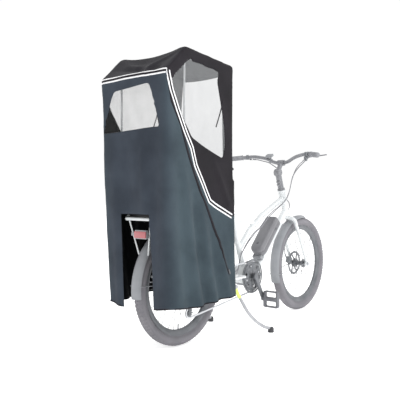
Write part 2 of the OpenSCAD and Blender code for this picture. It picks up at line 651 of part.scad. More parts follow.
module display() color("dimgray") bike() {
    ring_at(0.46, 10, bar_r + 4);
    translate(bar_at(0.46) + [-14, 0, bar_r + 15]) rotate([0, -30, 0]) linear_extrude(12)
        polygon(rounded(34, 48, 6));
}
function bar_at(t) = bar_w[6] + (bar_w[7] - bar_w[6]) * t;
module ring_at(t, w, r) let(d = unit(bar_w[7] - bar_w[6])) {
    difference() {
        bar(bar_at(t) - d * w / 2, bar_at(t) + d * w / 2, r);
        bar(bar_at(t) - d * w, bar_at(t) + d * w, bar_r - 0.3);
    }
    bar(bar_at(t) + [0, 0, bar_r], bar_at(t) + [-12, 0, bar_r + 18], 5);
}
module front_fender() color("gray") bike() {
    fender(wheelbase, 85, 113);
    both() bar([wheelbase, blade_y - 4, tyre_r + 4], [wheelbase - fender_r + 9, 33, tyre_r - 46], 2);
    bar(on_axis(crown_s - 12), on_axis(fender_r - 22), 6);
}
module front_caliper() color("dimgray") bike() translate([wheelbase, 0, tyre_r]) rotate([0, -160, 0])
    caliper(rotor_yf, blade_y - 6);
module front_axle() color("silver") bike() {
    across(wheelbase, tyre_r, -blade_y - 10, blade_y + 10, axle_r);
    across(wheelbase, tyre_r, drop_y + drop_t + 6, blade_y + 14, 10);
    across(wheelbase, tyre_r, -blade_y - 14, -drop_y - drop_t - 6, 10);
}
module front_hose() color("dimgray") bike() tube_along(smooth(front_path), hose_r, 8);

// ---- Wheels ----
module tyre(x) revolved(x, tyre_r) polygon(concat(
    [[bead_r, bead_y], [bead_r + 5.5, bead_y]], arc(tyre_mid, tyre_r - tyre_mid, tyre_w / 2, -40, 220, 20),
    [[bead_r + 5.5, -bead_y], [bead_r, -bead_y], [bead_r, 3 - bead_y], [bead_r + 7, 3 - bead_y]],
    arc(tyre_mid, tyre_r - tyre_mid - 5, tyre_w / 2 - 3, 220, -40, 16),
    [[bead_r + 7, bead_y - 3], [bead_r, bead_y - 3]]));
half_rim = [[rim_in, 6], [rim_in + 5, 10], [bead_r - 6, bead_y + 2.3], [bead_r + 5, bead_y + 2.3],
    [bead_r + 5, bead_y + 0.1], [bead_r - 0.1, bead_y + 0.1], [bead_r - 0.1, 9], [bead_r - 6, 7.5],
    [rim_in + 4, 3.5]];
module rim(x, a) {
    revolved(x, tyre_r) polygon(concat(half_rim, [for (i = [len(half_rim) - 1:-1:0])
        [half_rim[i][0], -half_rim[i][1]]]));
    translate([x, 0, tyre_r]) rotate([0, 90 - a, 0]) translate([0, 0, rim_in - 28]) cylinder(h = 30, r = 2.7);
}
module spokes(x, fl) translate([x, 0, tyre_r]) for (i = [0:spoke_n - 1]) let(s = i % 2,
    lead = floor(i / 2) % 2 == 0 ? 1 : -1, a = 360 * i / spoke_n, h = a - 55 * lead, o = s == 0 ? -1 : 1)
    bar([flange_r * cos(h), fl[s] + o * lead * 1.7, flange_r * sin(h)],
        [(rim_in + 3) * cos(a), o * (3 + lead * 1.7), (rim_in + 3) * sin(a)], 1);
module hub(x, fl, y0, y1, r, rotor_y) difference() {
    union() {
        across(x, tyre_r, y0, y1, r);
        for (y = fl) across(x, tyre_r, y - flange_t / 2, y + flange_t / 2, flange_r + 4);
        across(x, tyre_r, rotor_y - rotor_t / 2 - 4, rotor_y - rotor_t / 2, 21);
    }
    across(x, tyre_r, y0 - 9, y1 + 9, axle_r + run);
}
module rotor(x, y, hub_r) translate([x, 0, tyre_r]) plate(y - rotor_t / 2, y + rotor_t / 2)
    difference() {
        union() {
            difference() { circle(r = rotor_r, $fn = 96); circle(r = rotor_r - rotor_band, $fn = 96); }
            circle(r = 24);
            for (i = [0:5]) rotate(60 * i) polygon([[16, 10], [16, -2], [rotor_r - 6, 8], [rotor_r - 6, 18]]);
        }
        circle(r = hub_r);
    }
module front_tyre() color("gray") bike() tyre(wheelbase);
module front_rim() color("dimgray") bike() rim(wheelbase, 45);
module front_spokes() color("silver") bike() spokes(wheelbase, flange_f);
module front_hub() color("dimgray") bike()
    hub(wheelbase, flange_f, -hub_half_f, hub_half_f, 14, rotor_yf);
module front_rotor() color("silver") bike() rotor(wheelbase, rotor_yf, 14);
module rear_tyre() color("gray") bike() tyre(0);
module rear_rim() color("dimgray") bike() rim(0, -93);
module rear_spokes() color("silver") bike() spokes(0, flange_b);
module rear_hub() color("dimgray") bike()
    hub(0, flange_b, flange_b[0] - flange_t / 2, hub_half_r, 16, rotor_yr);
module rear_rotor() color("silver") bike() rotor(0, rotor_yr, 16);

// ---- Drive ----
module cassette() color("silver") bike() translate([0, 0, tyre_r]) difference() {
    union() {
        for (i = [0:len(cogs) - 1]) let(y = -chain_off + (4 - i) * cog_step)
            plate(y - cog_t / 2, y + cog_t / 2) polygon(teeth(cogs[i], pitch / 2 / sin(180 / cogs[i])));
        across(0, 0, -chain_off - 3 * cog_step - 4, -chain_off + 4 * cog_step + 3, core_r);
    }
    across(0, 0, -hub_half_r - 9, 0, axle_r + run);
}
module chainring() color("dimgray") bike() translate([bb_x, 0, bb_z]) difference() {
    union() {
        plate(-chain_off - 1, -chain_off + 1) polygon(teeth(ring_teeth, ring_pr));
        across(0, 0, -chain_off - 7, -chain_off + 2, 30);
        for (i = [0:3]) rotate([0, 90 * i + 45, 0]) across(62, 0, -chain_off - 7, -chain_off - 1, 7);
        plate(-chain_off - 9.5, -chain_off - 6.5) circle(r = guard_r, $fn = 96);
    }
    across(0, 0, -chain_off - 20, -chain_off + 9, spindle_r);
    for (i = [0:3]) rotate([0, 90 * i, 0]) translate([0, 0, -52]) plate(-chain_off - 20, -chain_off + 9)
        polygon(rounded(56, 26, 12));
}
module crank_arms() color("gray") bike() translate([bb_x, 0, bb_z]) {
    across(0, 0, -arm_y - arm_t, arm_y + arm_t, spindle_r);
    for (s = [-1, 1]) rotate([0, s < 0 ? -crank_a : 180 - crank_a, 0]) difference() {
        union() {
            across(0, 0, s < 0 ? -arm_y - arm_t : arm_y, s < 0 ? -arm_y : arm_y + arm_t, 19);
            across(crank_len, 0, s < 0 ? -arm_y - arm_t : arm_y, s < 0 ? -arm_y : arm_y + arm_t, 14);
            plate(s < 0 ? -arm_y - arm_t + 1 : arm_y + 1, s < 0 ? -arm_y - 1 : arm_y + arm_t - 1)
                polygon([[0, 15], [0, -15], [crank_len, -11], [crank_len, 11]]);
        }
        across(crank_len, 0, -arm_y - 20, arm_y + 20, pedal_pin + run);
    }
}
module pedal(s) {
    c = [bb_x + s * crank_len * cos(crank_a), 0, bb_z + s * crank_len * sin(crank_a)];
    y0 = arm_y + arm_t + pedal_gap;
    translate(c) for (m = [0, 1]) if (m == (s < 0 ? 0 : 1)) mirror([0, m, 0]) {
        across(0, 0, arm_y + 1, y0 + pedal_l[1], pedal_pin);
        across(0, 0, arm_y + arm_t + 0.6, y0 + 1, 9);
        difference() {
            translate([0, y0 + pedal_l[1] / 2, 0]) rotate([0, 90, 0])
                translate([0, 0, -pedal_l[2] / 2]) linear_extrude(pedal_l[2])
                polygon(rounded(pedal_l[0], pedal_l[1], 10));
            for (k = [-1, 1]) translate([0, y0 + pedal_l[1] / 2, k * 26]) rotate([0, 90, 0])
                translate([0, 0, -pedal_l[2]]) linear_extrude(2 * pedal_l[2])
                polygon(rounded(30, pedal_l[1] - 22, 5));
        }
    }
}
module pedal_right() color("gray") bike() pedal(1);
module pedal_left() color("gray") bike() pedal(-1);

// ---- Seat ----
module seat_post() color("silver") bike() difference() {
    seated() translate([0, 0, post_low]) cylinder(h = post_high - post_low, r = post_r);
    seated() translate([0, 0, post_low - 1]) cylinder(h = post_high - post_low - 30, r = post_r - 2.5);
}
seat_top = bb + seat_d * post_high;
module saddle() color("black") bike() {
    translate(seat_top + [saddle_x, 0, saddle_z]) hull() {
        for (y = [-1, 1]) translate([-saddle_len / 2 + 34, y * (saddle_w / 2 - 34), 4]) sphere(r = 26, $fn = 24);
        translate([saddle_len / 2 - 18, 0, 2]) sphere(r = 18, $fn = 24);
    }
    for (y = [-18, 18]) bar(seat_top + [saddle_x - 72, y, 12], seat_top + [saddle_x + 68, y * 0.7, 12], 3.5);
    translate(seat_top + [-20, -24, -12]) cube([40, 48, 26]);
}
module collar_lever() color("silver") bike() seated() translate([-collar_r - 8, 0, seat_len + gap + collar_h / 2]) {
    translate([0, 9.6, 0]) rotate([-90, 0, 0]) cylinder(h = 9, r = 7);
    translate([-42, 10, -5]) cube([46, 8, 10]);
}

// ---- Kickstand ----
leg_path = [[0, leg_root, 0], [2, leg_root, -12], [10, 104, -42], [20, 124, -82], [34, 142, -125],
    [56, 160, -163], [88, 182, -200], [128, 204, -228], [foot_x, stand_half, foot_h - 4 - stand_z]];
module kickstand() color("silver") bike() translate([stand_x, 0, stand_z]) {
    across(0, 0, -leg_root, leg_root, pin_r);
    both() {
        across(0, 0, leg_root - 12, leg_root + 8, leg_r + 3);
        tube_along(leg_path, leg_r, 12);
        translate([foot_x, stand_half, -stand_z]) cylinder(h = foot_h, r = foot_r);
    }
}

frame_main();
frame_rear();
rack();
rack_deck();
deck_pad();
rear_fender();
tail_light();
tail_lens();
motor();
seat_collar();
rear_axle();
battery_dock();
rear_caliper();
derailleur_body();
chain();
frame_cables();
canopy_poles();
canopy_rear();
canopy_top();
canopy_sides();
canopy_windows();
canopy_trim();
fork();
stem();
handlebar();
grips();
bar_controls();
display();
front_fender();
front_caliper();
front_axle();
front_hose();
front_tyre();
front_rim();
front_spokes();
front_hub();
front_rotor();
rear_tyre();
rear_rim();
rear_spokes();
rear_hub();
rear_rotor();
cassette();
chainring();
crank_arms();
pedal_right();
pedal_left();
lever_right();
lever_left();
seat_post();
saddle();
kickstand();
collar_lever();
battery();
derailleur_cage();
jockey_upper();
jockey_lower();
zip_pull_right();
zip_pull_left();
shift_paddle();
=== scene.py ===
"""Looks of a compact longtail cargo bicycle with a zip-up fabric canopy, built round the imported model.

Metres, in the model's own frame: +X forwards, +Y to the rider's left, +Z up, ground at Z = 0.
Lengths below that are easier to read from the rear axle go through at(), which shifts them into the frame.
"""
import json
import math

import bmesh
import bpy
import numpy as np
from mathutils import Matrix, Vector
from mathutils.bvhtree import BVHTree
from mathutils.geometry import delaunay_2d_cdt
from mathutils.kdtree import KDTree


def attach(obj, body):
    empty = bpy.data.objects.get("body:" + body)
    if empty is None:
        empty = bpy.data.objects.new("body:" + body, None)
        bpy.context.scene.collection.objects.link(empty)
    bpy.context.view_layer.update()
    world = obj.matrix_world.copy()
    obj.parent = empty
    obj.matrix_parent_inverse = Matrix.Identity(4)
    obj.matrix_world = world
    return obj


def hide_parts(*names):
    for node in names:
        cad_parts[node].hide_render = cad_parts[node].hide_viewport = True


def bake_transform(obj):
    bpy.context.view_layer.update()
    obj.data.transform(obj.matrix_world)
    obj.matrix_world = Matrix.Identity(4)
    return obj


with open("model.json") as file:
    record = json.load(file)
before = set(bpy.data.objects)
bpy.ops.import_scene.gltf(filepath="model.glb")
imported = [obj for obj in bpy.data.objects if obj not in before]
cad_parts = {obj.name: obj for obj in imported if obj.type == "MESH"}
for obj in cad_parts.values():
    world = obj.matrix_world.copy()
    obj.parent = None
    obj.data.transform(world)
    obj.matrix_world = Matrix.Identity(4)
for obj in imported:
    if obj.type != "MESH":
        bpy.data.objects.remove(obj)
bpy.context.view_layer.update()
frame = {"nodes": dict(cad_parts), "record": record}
scene = bpy.context.scene
MM = 0.001
AXLE_X = -0.5942     # rear axle, along X
WHEELBASE = 1.213
TYRE_R = 0.310


def at(x, y, z):
    """A point given from the rear axle, put into the model's frame."""
    return Vector((x + AXLE_X, y, z))


# ---------------------------------------------------------------- camera and light
def set_camera():
    cam = bpy.data.objects.new("camera", bpy.data.cameras.new("camera"))
    scene.collection.objects.link(cam)
    cam.data.sensor_width = 36
    cam.data.lens = 51.42
    cam.data.clip_start, cam.data.clip_end = 0.05, 60
    yaw, pitch = math.radians(39.87), -0.0098
    ahead = Vector((math.cos(yaw) * math.cos(pitch), math.sin(yaw) * math.cos(pitch), math.sin(pitch)))
    cam.location = (-2.7848, -1.9673, 0.7750)
    cam.rotation_euler = ahead.to_track_quat("-Z", "Y").to_euler()
    scene.camera = cam


def soft_light(name, place, aim, size, power):
    """A square softbox at place, turned to aim."""
    lamp = bpy.data.lights.new(name, "AREA")
    lamp.shape, lamp.size, lamp.energy = "SQUARE", size, power
    obj = bpy.data.objects.new(name, lamp)
    obj.location = place
    obj.rotation_euler = (Vector(aim) - Vector(place)).to_track_quat("-Z", "Y").to_euler()
    scene.collection.objects.link(obj)


set_camera()
scene.view_settings.view_transform = "Standard"
world = bpy.data.worlds.new("studio")
world.use_nodes = True
world.node_tree.nodes["Background"].inputs["Color"].default_value = (1, 1, 1, 1)
world.node_tree.nodes["Background"].inputs["Strength"].default_value = 1.02
scene.world = world
soft_light("key_softbox", (-0.6, -3.4, 3.0), (-0.2, 0, 0.7), 1.8, 58)
soft_light("fill_softbox", (2.8, -2.0, 2.6), (0.2, 0, 0.6), 2.4, 22)
soft_light("back_softbox", (0.5, 3.6, 3.2), (0, 0, 0.7), 2.6, 16)


# ---------------------------------------------------------------- materials
def colour(code):
    """sRGB hex to a linear RGBA."""
    parts = [int(code[i:i + 2], 16) / 255 for i in (1, 3, 5)]
    return tuple(c / 12.92 if c <= 0.04045 else ((c + 0.055) / 1.055) ** 2.4 for c in parts) + (1.0,)


def add(tree, kind, sockets=None, **settings):
    """A node with its settings; sockets takes a value or another node's output for each named input."""
    node = tree.nodes.new(kind)
    for key, value in settings.items():
        setattr(node, key, value)
    for key, value in (sockets or {}).items():
        if isinstance(value, bpy.types.NodeSocket):
            tree.links.new(value, node.inputs[key])
        else:
            node.inputs[key].default_value = value
    return node


def ramp(tree, factor, stops):
    """A colour ramp from (position, hex) stops."""
    node = add(tree, "ShaderNodeValToRGB", {"Fac": factor})
    node.color_ramp.elements[0].position, node.color_ramp.elements[0].color = stops[0][0], colour(stops[0][1])
    node.color_ramp.elements[1].position, node.color_ramp.elements[1].color = stops[-1][0], colour(stops[-1][1])
    for place, code in stops[1:-1]:
        node.color_ramp.elements.new(place).color = colour(code)
    return node.outputs["Color"]


def blank(name):
    made = bpy.data.materials.new(name)
    made.use_nodes = True
    tree = made.node_tree
    return made, tree, tree.nodes["Principled BSDF"], add(tree, "ShaderNodeTexCoord")


def surface(name, low, high, rough, metal=0.0, grain=1.0, blotch=60.0, bump=0.1, depth=0.15, coat=0.0,
            stretch=(1, 1, 1), spread=0.08, shine=0.5):
    """A hard finish: low to high colours in blotches of that many mm, and grain of that many mm in the bump."""
    made, tree, shader, where = blank(name)
    place = add(tree, "ShaderNodeMapping", {"Vector": where.outputs["Object"], "Scale": stretch})
    cloudy = add(tree, "ShaderNodeTexNoise",
                 {"Vector": place.outputs["Vector"], "Scale": 1000 / blotch, "Detail": 5.0,
                  "Roughness": 0.55})
    fine = add(tree, "ShaderNodeTexNoise",
               {"Vector": place.outputs["Vector"], "Scale": 1000 / grain, "Detail": 3.0, "Roughness": 0.6})
    tint = ramp(tree, cloudy.outputs["Fac"], [(0.3, low), (0.7, high)])
    tree.links.new(tint, shader.inputs["Base Color"])
    patchy = add(tree, "ShaderNodeMapRange", {"Value": fine.outputs["Fac"], "From Min": 0.3, "From Max": 0.7,
                                              "To Min": max(rough - spread, 0.04),
                                              "To Max": min(rough + spread, 1)})
    tree.links.new(patchy.outputs["Result"], shader.inputs["Roughness"])
    raised = add(tree, "ShaderNodeBump", {"Height": fine.outputs["Fac"], "Strength": bump,
                                          "Distance": depth * MM})
    tree.links.new(raised.outputs["Normal"], shader.inputs["Normal"])
    shader.inputs["Metallic"].default_value = metal
    shader.inputs["Specular IOR Level"].default_value = shine
    shader.inputs["Coat Weight"].default_value = coat
    shader.inputs["Coat Roughness"].default_value = 0.08
    return made


def woven(name, low, high, thread, sheen, rough=0.82, bump=0.35, blotch=180.0, lit_side_tones=None):
    """A coated plain weave: over-and-under threads of that many mm across, on the cloth's own UV in metres.
    The optional extra pair of tones is painted light: a lighter, tealer copy of the cloth standing in for the light
    that falls on the side panels, mixed in by a point attribute that is 1 on the sides."""
    made, tree, shader, where = blank(name)
    uv = where.outputs["UV"]
    warp = add(tree, "ShaderNodeTexWave", {"Vector": uv, "Scale": 1000 / thread / 6.2832, "Distortion": 0.6,
                                           "Detail": 1.0}, wave_type="BANDS", bands_direction="X")
    weft = add(tree, "ShaderNodeTexWave", {"Vector": uv, "Scale": 1000 / thread / 6.2832, "Distortion": 0.6,
                                           "Detail": 1.0}, wave_type="BANDS", bands_direction="Y")
    threads = add(tree, "ShaderNodeMath", {0: warp.outputs["Fac"], 1: weft.outputs["Fac"]},
                  operation="MAXIMUM")
    cloudy = add(tree, "ShaderNodeTexNoise",
                 {"Vector": where.outputs["Object"], "Scale": 1000 / blotch, "Detail": 6.0})
    mixed = add(tree, "ShaderNodeMath", {0: threads.outputs["Value"], 1: 0.22, 2: cloudy.outputs["Fac"]},
                operation="MULTIPLY_ADD")
    tint = ramp(tree, mixed.outputs["Value"], [(0.45, low), (0.8, high)])
    # painted light: the lighter, tealer tones stand in for the light falling on the side panels
    if lit_side_tones:
        other = ramp(tree, mixed.outputs["Value"], [(0.45, lit_side_tones[0]), (0.8, lit_side_tones[1])])
        painted_lit_side = add(tree, "ShaderNodeAttribute", attribute_name="painted_lit_side")
        both = add(tree, "ShaderNodeMix", {0: painted_lit_side.outputs["Fac"], 6: tint, 7: other}, data_type="RGBA")
        tint = both.outputs[2]
    tree.links.new(tint, shader.inputs["Base Color"])
    raised = add(tree, "ShaderNodeBump", {"Height": threads.outputs["Value"], "Strength": bump,
                                          "Distance": 0.25 * MM})
    tree.links.new(raised.outputs["Normal"], shader.inputs["Normal"])
    shader.inputs["Roughness"].default_value = rough
    shader.inputs["Specular IOR Level"].default_value = 0.22
    shader.inputs["Sheen Weight"].default_value = sheen
    shader.inputs["Sheen Roughness"].default_value = 0.45
    return made


def see_through(name, tint, haze):
    """Clear vinyl sheet: mostly lets light straight through, with a milky haze, faint scuffs and a gloss skin."""
    made, tree, shader, where = blank(name)
    scuff = add(tree, "ShaderNodeTexNoise", {"Vector": where.outputs["Object"], "Scale": 14.0, "Detail": 8.0,
                                             "Roughness": 0.7})
    milky = add(tree, "ShaderNodeMapRange", {"Value": scuff.outputs["Fac"], "From Min": 0.3, "From Max": 0.7,
                                             "To Min": haze * 0.9, "To Max": haze * 1.1})
    tree.links.new(milky.outputs["Result"], shader.inputs["Alpha"])
    shader.inputs["Base Color"].default_value = colour(tint)
    shader.inputs["Roughness"].default_value = 0.12
    shader.inputs["IOR"].default_value = 1.52
    ripple = add(tree, "ShaderNodeBump", {"Height": scuff.outputs["Fac"], "Strength": 0.25,
                                          "Distance": 1.5 * MM})
    tree.links.new(ripple.outputs["Normal"], shader.inputs["Normal"])
    return made


def timber(name, low, high):
    """Oiled plywood: long grain across the deck, with fine pores."""
    made, tree, shader, where = blank(name)
    place = add(tree, "ShaderNodeMapping", {"Vector": where.outputs["Object"], "Scale": (3, 60, 60)})
    grain = add(tree, "ShaderNodeTexNoise", {"Vector": place.outputs["Vector"], "Scale": 3.0, "Detail": 8.0,
                                             "Distortion": 1.2})
    tree.links.new(ramp(tree, grain.outputs["Fac"], [(0.3, low), (0.72, high)]), shader.inputs["Base Color"])
    raised = add(tree, "ShaderNodeBump", {"Height": grain.outputs["Fac"], "Strength": 0.2,
                                          "Distance": 0.3 * MM})
    tree.links.new(raised.outputs["Normal"], shader.inputs["Normal"])
    shader.inputs["Roughness"].default_value = 0.5
    return made


def prism_lens(name, low, high):
    """Moulded polycarbonate reflector: a grid of 5 mm pyramids behind a glossy face."""
    made, tree, shader, where = blank(name)
    cells = add(tree, "ShaderNodeTexVoronoi",
                {"Vector": where.outputs["Object"], "Scale": 200.0, "Randomness": 0.0},
                distance="CHEBYCHEV")
    tree.links.new(ramp(tree, cells.outputs["Distance"], [(0.1, high), (0.6, low)]),
                   shader.inputs["Base Color"])
    raised = add(tree, "ShaderNodeBump", {"Height": cells.outputs["Distance"], "Strength": 0.4,
                                          "Distance": 0.6 * MM})
    tree.links.new(raised.outputs["Normal"], shader.inputs["Normal"])
    shader.inputs["Roughness"].default_value = 0.18
    shader.inputs["Coat Weight"].default_value = 0.6
    return made


def hard(*tones, **settings):
    """A surface() whose name is its key in FINISH."""
    return lambda name: surface(name, *tones, **settings)


FINISH = {
    # powder coat over steel tube: pale, faintly pebbled, with a clear lacquer
    "powder_coat_white": hard("#cdd1d3", "#dfe2e3", 0.32, grain=1.6, blotch=160, bump=0.08, coat=0.35),
    # anodised and bead-blasted aluminium: soft grey, fine blasted grain
    "anodised_aluminium": hard("#a3a4a8", "#b9babd", 0.38, metal=0.75, grain=0.7, blotch=90, bump=0.12),
    # forged aluminium, grey anodised, for the crank, guard and hubs
    "grey_anodising": hard("#5f6266", "#74767a", 0.42, metal=0.45, grain=0.8, blotch=70, bump=0.1),
    # swept bar, grey anodised to a duller tone
    "bar_alloy": hard("#7d7e82", "#8f9094", 0.42, metal=0.4, grain=0.8, blotch=70, bump=0.1),
    # stainless steel, drawn or stamped: brighter, streaked along its length
    "drawn_steel": hard("#b9bbbf", "#d2d3d6", 0.3, metal=0.85, grain=0.6, blotch=50, bump=0.08,
                        stretch=(1, 1, 0.25)),
    # die-cast magnesium and painted calipers
    "cast_housing": hard("#6d7074", "#7f8286", 0.5, metal=0.2, grain=1.2, blotch=80, bump=0.2),
    # stainless spokes and ground brake discs: dull, because they are thin and streaked round their length
    "spoke_steel": hard("#5f6165", "#717377", 0.4, metal=0.35, grain=0.6, blotch=40, bump=0.06),
    "disc_steel": hard("#66686c", "#7a7c80", 0.36, metal=0.5, grain=0.5, blotch=40, bump=0.1),
    # injection-moulded ABS with a spark-eroded texture
    "moulded_plastic": hard("#7e8185", "#929498", 0.48, grain=1.1, blotch=140, bump=0.18),
    "moulded_plastic_pale": hard("#94969a", "#a5a7aa", 0.5, grain=1.1, blotch=140, bump=0.18),
    "battery_plastic": hard("#6b6b6f", "#7b7b7f", 0.42, grain=1.0, blotch=150, bump=0.16),
    "pedal_plastic": hard("#63646a", "#74757a", 0.55, grain=1.2, blotch=50, bump=0.25),
    "moulded_plastic_dark": hard("#4e5054", "#5c5f63", 0.45, grain=1.0, blotch=100, bump=0.18),
    # vulcanised tyre rubber: matt
    "tyre_rubber": hard("#6f6e73", "#817f84", 0.82, grain=2.2, blotch=120, bump=0.3, depth=0.3),
    # extruded hose jacket and kneaded grip rubber
    "soft_rubber": hard("#7a7b7f", "#8d8d92", 0.72, grain=1.5, blotch=60, bump=0.25),
    "grip_rubber": hard("#828388", "#929397", 0.74, grain=1.4, blotch=50, bump=0.3),
    "dark_rubber": hard("#3b3b3e", "#4a4a4d", 0.78, grain=1.6, blotch=50, bump=0.3),
    # phenolic-faced plywood: near-black film over a faint grain
    "timber": timber("film_faced_plywood", "#232325", "#313134"),
    "lens": prism_lens("ribbed_red_lens", "#94494c", "#bf6d72"),
    # coated polyester, plain weave, drawn at 2.4 mm because the real 0.4 mm thread is too fine to show
    # the slate cloth's extra pair of tones is painted light, lighter and tealer for the side panels where the light
    # falls
    "slate_polyester": woven("slate_polyester", "#292f38", "#39404a", 2.4, 0.02,
                             lit_side_tones=("#2d383f", "#404d54")),
    "black_polyester": woven("black_polyester", "#151317", "#201d22", 2.4, 0.02),
    "charcoal_polyester": woven("charcoal_polyester", "#1c1b1f", "#29282d", 2.4, 0.03),
    # polyurethane-coated inner face of the same cloth, made near-black as painted shade for the dim inside of the
    # canopy
    "lining_painted_shade": hard("#040507", "#080a0d", 0.75, grain=1.8, blotch=200, bump=0.12, shine=0.06),
    "clear_vinyl": see_through("clear_vinyl", "#fbfcfc", 0.02),
    # the doors' vinyl is thicker, and its milky haze holds back more of what is behind it
    "hazy_vinyl": see_through("hazy_vinyl", "#8f9193", 0.40),
    # glass-bead reflective tape
    "reflective_tape": hard("#e4e4e6", "#f6f6f7", 0.35, grain=0.9, blotch=40, bump=0.15),
    "black_webbing": hard("#19171b", "#242127", 0.78, grain=1.4, blotch=60, bump=0.35, shine=0.2),
    "lime_sleeve": hard("#d9e46a", "#ecf791", 0.5, grain=1.2, blotch=40, bump=0.1),
    "seat_vinyl": hard("#27272a", "#37373b", 0.5, grain=2.2, blotch=120, bump=0.35, depth=0.3),
}
FINISH = {name: made(name) if callable(made) else made for name, made in FINISH.items()}


# ---------------------------------------------------------------- small mesh tools
def piece(name, verts, faces, finish, smooth=True):
    """A mesh object at the origin with its place in its mesh."""
    mesh = bpy.data.meshes.new(name)
    mesh.from_pydata([tuple(v) for v in verts], [], [tuple(f) for f in faces])
    mesh.validate()
    made = bpy.data.objects.new(name, mesh)
    scene.collection.objects.link(made)
    for one in finish if isinstance(finish, (list, tuple)) else [finish]:
        mesh.materials.append(FINISH[one])
    if smooth:
        mesh.shade_smooth()
    return made


def tidy(made, merge=1e-5):
    """Merges doubles and turns every face outwards."""
    bm = bmesh.new()
    bm.from_mesh(made.data)
    bmesh.ops.remove_doubles(bm, verts=bm.verts, dist=merge)
    bmesh.ops.recalc_face_normals(bm, faces=bm.faces)
    bm.to_mesh(made.data)
    bm.free()
    return made


def settle(made):
    """Applies every modifier, so that a plain mesh is left."""
    bpy.context.view_layer.update()
    graph = bpy.context.evaluated_depsgraph_get()
    solid = bpy.data.meshes.new_from_object(made.evaluated_get(graph))
    made.modifiers.clear()
    made.data = solid
    return made


def soften(made, width, segments=2, angle=35, levels=0):
    """Rounds sharp edges with a bevel, and subdivides the whole piece when levels is given."""
    bevel = made.modifiers.new("rounding", "BEVEL")
    bevel.width, bevel.segments, bevel.limit_method = width, segments, "ANGLE"
    bevel.angle_limit = math.radians(angle)
    if levels:
        sub = made.modifiers.new("subdivision", "SUBSURF")
        sub.levels = sub.render_levels = levels
    return settle(made)


def spline(points, per=6):
    """A Catmull-Rom curve through the points."""
    p = [Vector(q) for q in points]
    out = []
    for i in range(len(p) - 1):
        a, b, c, d = p[max(i - 1, 0)], p[i], p[i + 1], p[min(i + 2, len(p) - 1)]
        for k in range(per):
            t = k / per
            out.append(0.5 * ((2 * b) + (c - a) * t + (2 * a - 5 * b + 4 * c - d) * t * t
                              + (3 * b - a - 3 * c + d) * t * t * t))
    return out + [p[-1]]


def ring_faces(rings, sides, closed=False):
    """Faces between rings of points that follow one another, capped at both ends unless the last meets the first."""
    faces = [(i * sides + k, i * sides + (k + 1) % sides, (i + 1) % rings * sides + (k + 1) % sides,
              (i + 1) % rings * sides + k) for i in range(rings - 1 + closed) for k in range(sides)]
    if not closed:
        faces += [tuple(range(sides))[::-1], tuple((rings - 1) * sides + k for k in range(sides))]
    return faces


def swept(path, radius, sides=16):
    """Vertices and faces of a tube along a path, with its rings carried round without twist."""
    path = [Vector(p) for p in path]
    radii = radius if isinstance(radius, (list, tuple)) else [radius] * len(path)
    tangents = [(path[min(i + 1, len(path) - 1)] - path[max(i - 1,
                                                            0)]).normalized() for i in range(len(path))]
    side = tangents[0].cross(Vector((0, 0, 1)) if abs(tangents[0].z) < 0.9 else Vector((0, 1,
                                                                                        0))).normalized()
    verts = []
    for i, (p, t) in enumerate(zip(path, tangents)):
        side = (side - t * side.dot(t)).normalized()
        up = t.cross(side)
        for k in range(sides):
            a = 2 * math.pi * k / sides
            verts.append(p + radii[i] * (math.cos(a) * side + math.sin(a) * up))
    return verts, ring_faces(len(path), sides)


def joined(groups):
    """Several (vertices, faces) as one."""
    verts, faces = [], []
    for v, f in groups:
        faces += [tuple(i + len(verts) for i in one) for one in f]
        verts += list(v)
    return verts, faces


def dress(finish, *names):
    """Gives CAD nodes their finish."""
    for name in names:
        slots = frame["nodes"][name].data.materials
        slots.clear()
        slots.append(FINISH[finish])


# ---------------------------------------------------------------- canopy: one draped sheet
CLOTH = 0.011        # spacing of the cloth's mesh
HALF = 0.229
REAR = [(-0.310, 0.235), (-0.334, 1.340)]
RIDGE = (-0.205, 1.466)
FRONT = [(0.172, 1.432), (0.171, 1.385), (0.169, 1.250), (0.169, 1.000), (0.171, 0.750), (0.174, 0.235)]
FRONT_LOW = 0.800    # where the front panel ends, above the seat post
NOTCH = [(-0.100, 0.235), (-0.096, 0.681), (0.096, 0.681), (0.086, 0.235)]
STRIPE = [(-0.334, 1.340), (-0.300, 1.243), (-0.258, 1.160), (-0.206, 1.070), (-0.156, 0.992),
          (-0.127, 0.912),
          (-0.067, 0.820), (-0.021, 0.743), (0.034, 0.713), (0.168, 0.660)]
ZIP = [(-0.318, 1.262), (-0.301, 1.196), (-0.234, 1.091), (-0.178, 0.957), (-0.098, 0.796), (-0.060, 0.745),
       (0.125, 0.373)]
WIN_REAR = [(-0.180, 1.086), (0.220, 1.072), (0.136, 1.270), (-0.112, 1.288)]
WIN_SIDE = [(-0.182, 1.404), (0.040, 1.380), (0.030, 1.330), (0.056, 1.236), (0.086, 1.120), (0.094, 1.021),
            (0.076, 0.955), (-0.060, 1.002), (-0.156, 1.042), (-0.206, 1.107), (-0.288, 1.222),
            (-0.304, 1.296),
            (-0.234, 1.360)]
WIN_FRONT = [(-0.160, 0.900), (0.160, 0.900), (0.128, 1.404), (-0.146, 1.400)]


def evenly(points, step):
    """Points along a polyline, no more than step apart, its corners kept."""
    out = []
    for a, b in zip(points[:-1], points[1:]):
        a, b = np.array(a, float), np.array(b, float)
        count = max(1, math.ceil(np.linalg.norm(b - a) / step))
        out += [tuple(a + (b - a) * k / count) for k in range(count)]
    return out + [tuple(points[-1])]


def rounded_corners(points, radius, per=5):
    """A closed outline with each corner turned on a curve that starts radius away from it."""
    out, n = [], len(points)
    for i in range(n):
        p, a, b = (np.array(points[(i + k) % n], float) for k in (0, -1, 1))
        u, v = a - p, b - p
        cut = min(radius, 0.45 * np.linalg.norm(u), 0.45 * np.linalg.norm(v))
        s, e = p + u / np.linalg.norm(u) * cut, p + v / np.linalg.norm(v) * cut
        for k in range(per + 1):
            t = k / per
            out.append(tuple((1 - t) ** 2 * s + 2 * t * (1 - t) * p + t * t * e))
    return out


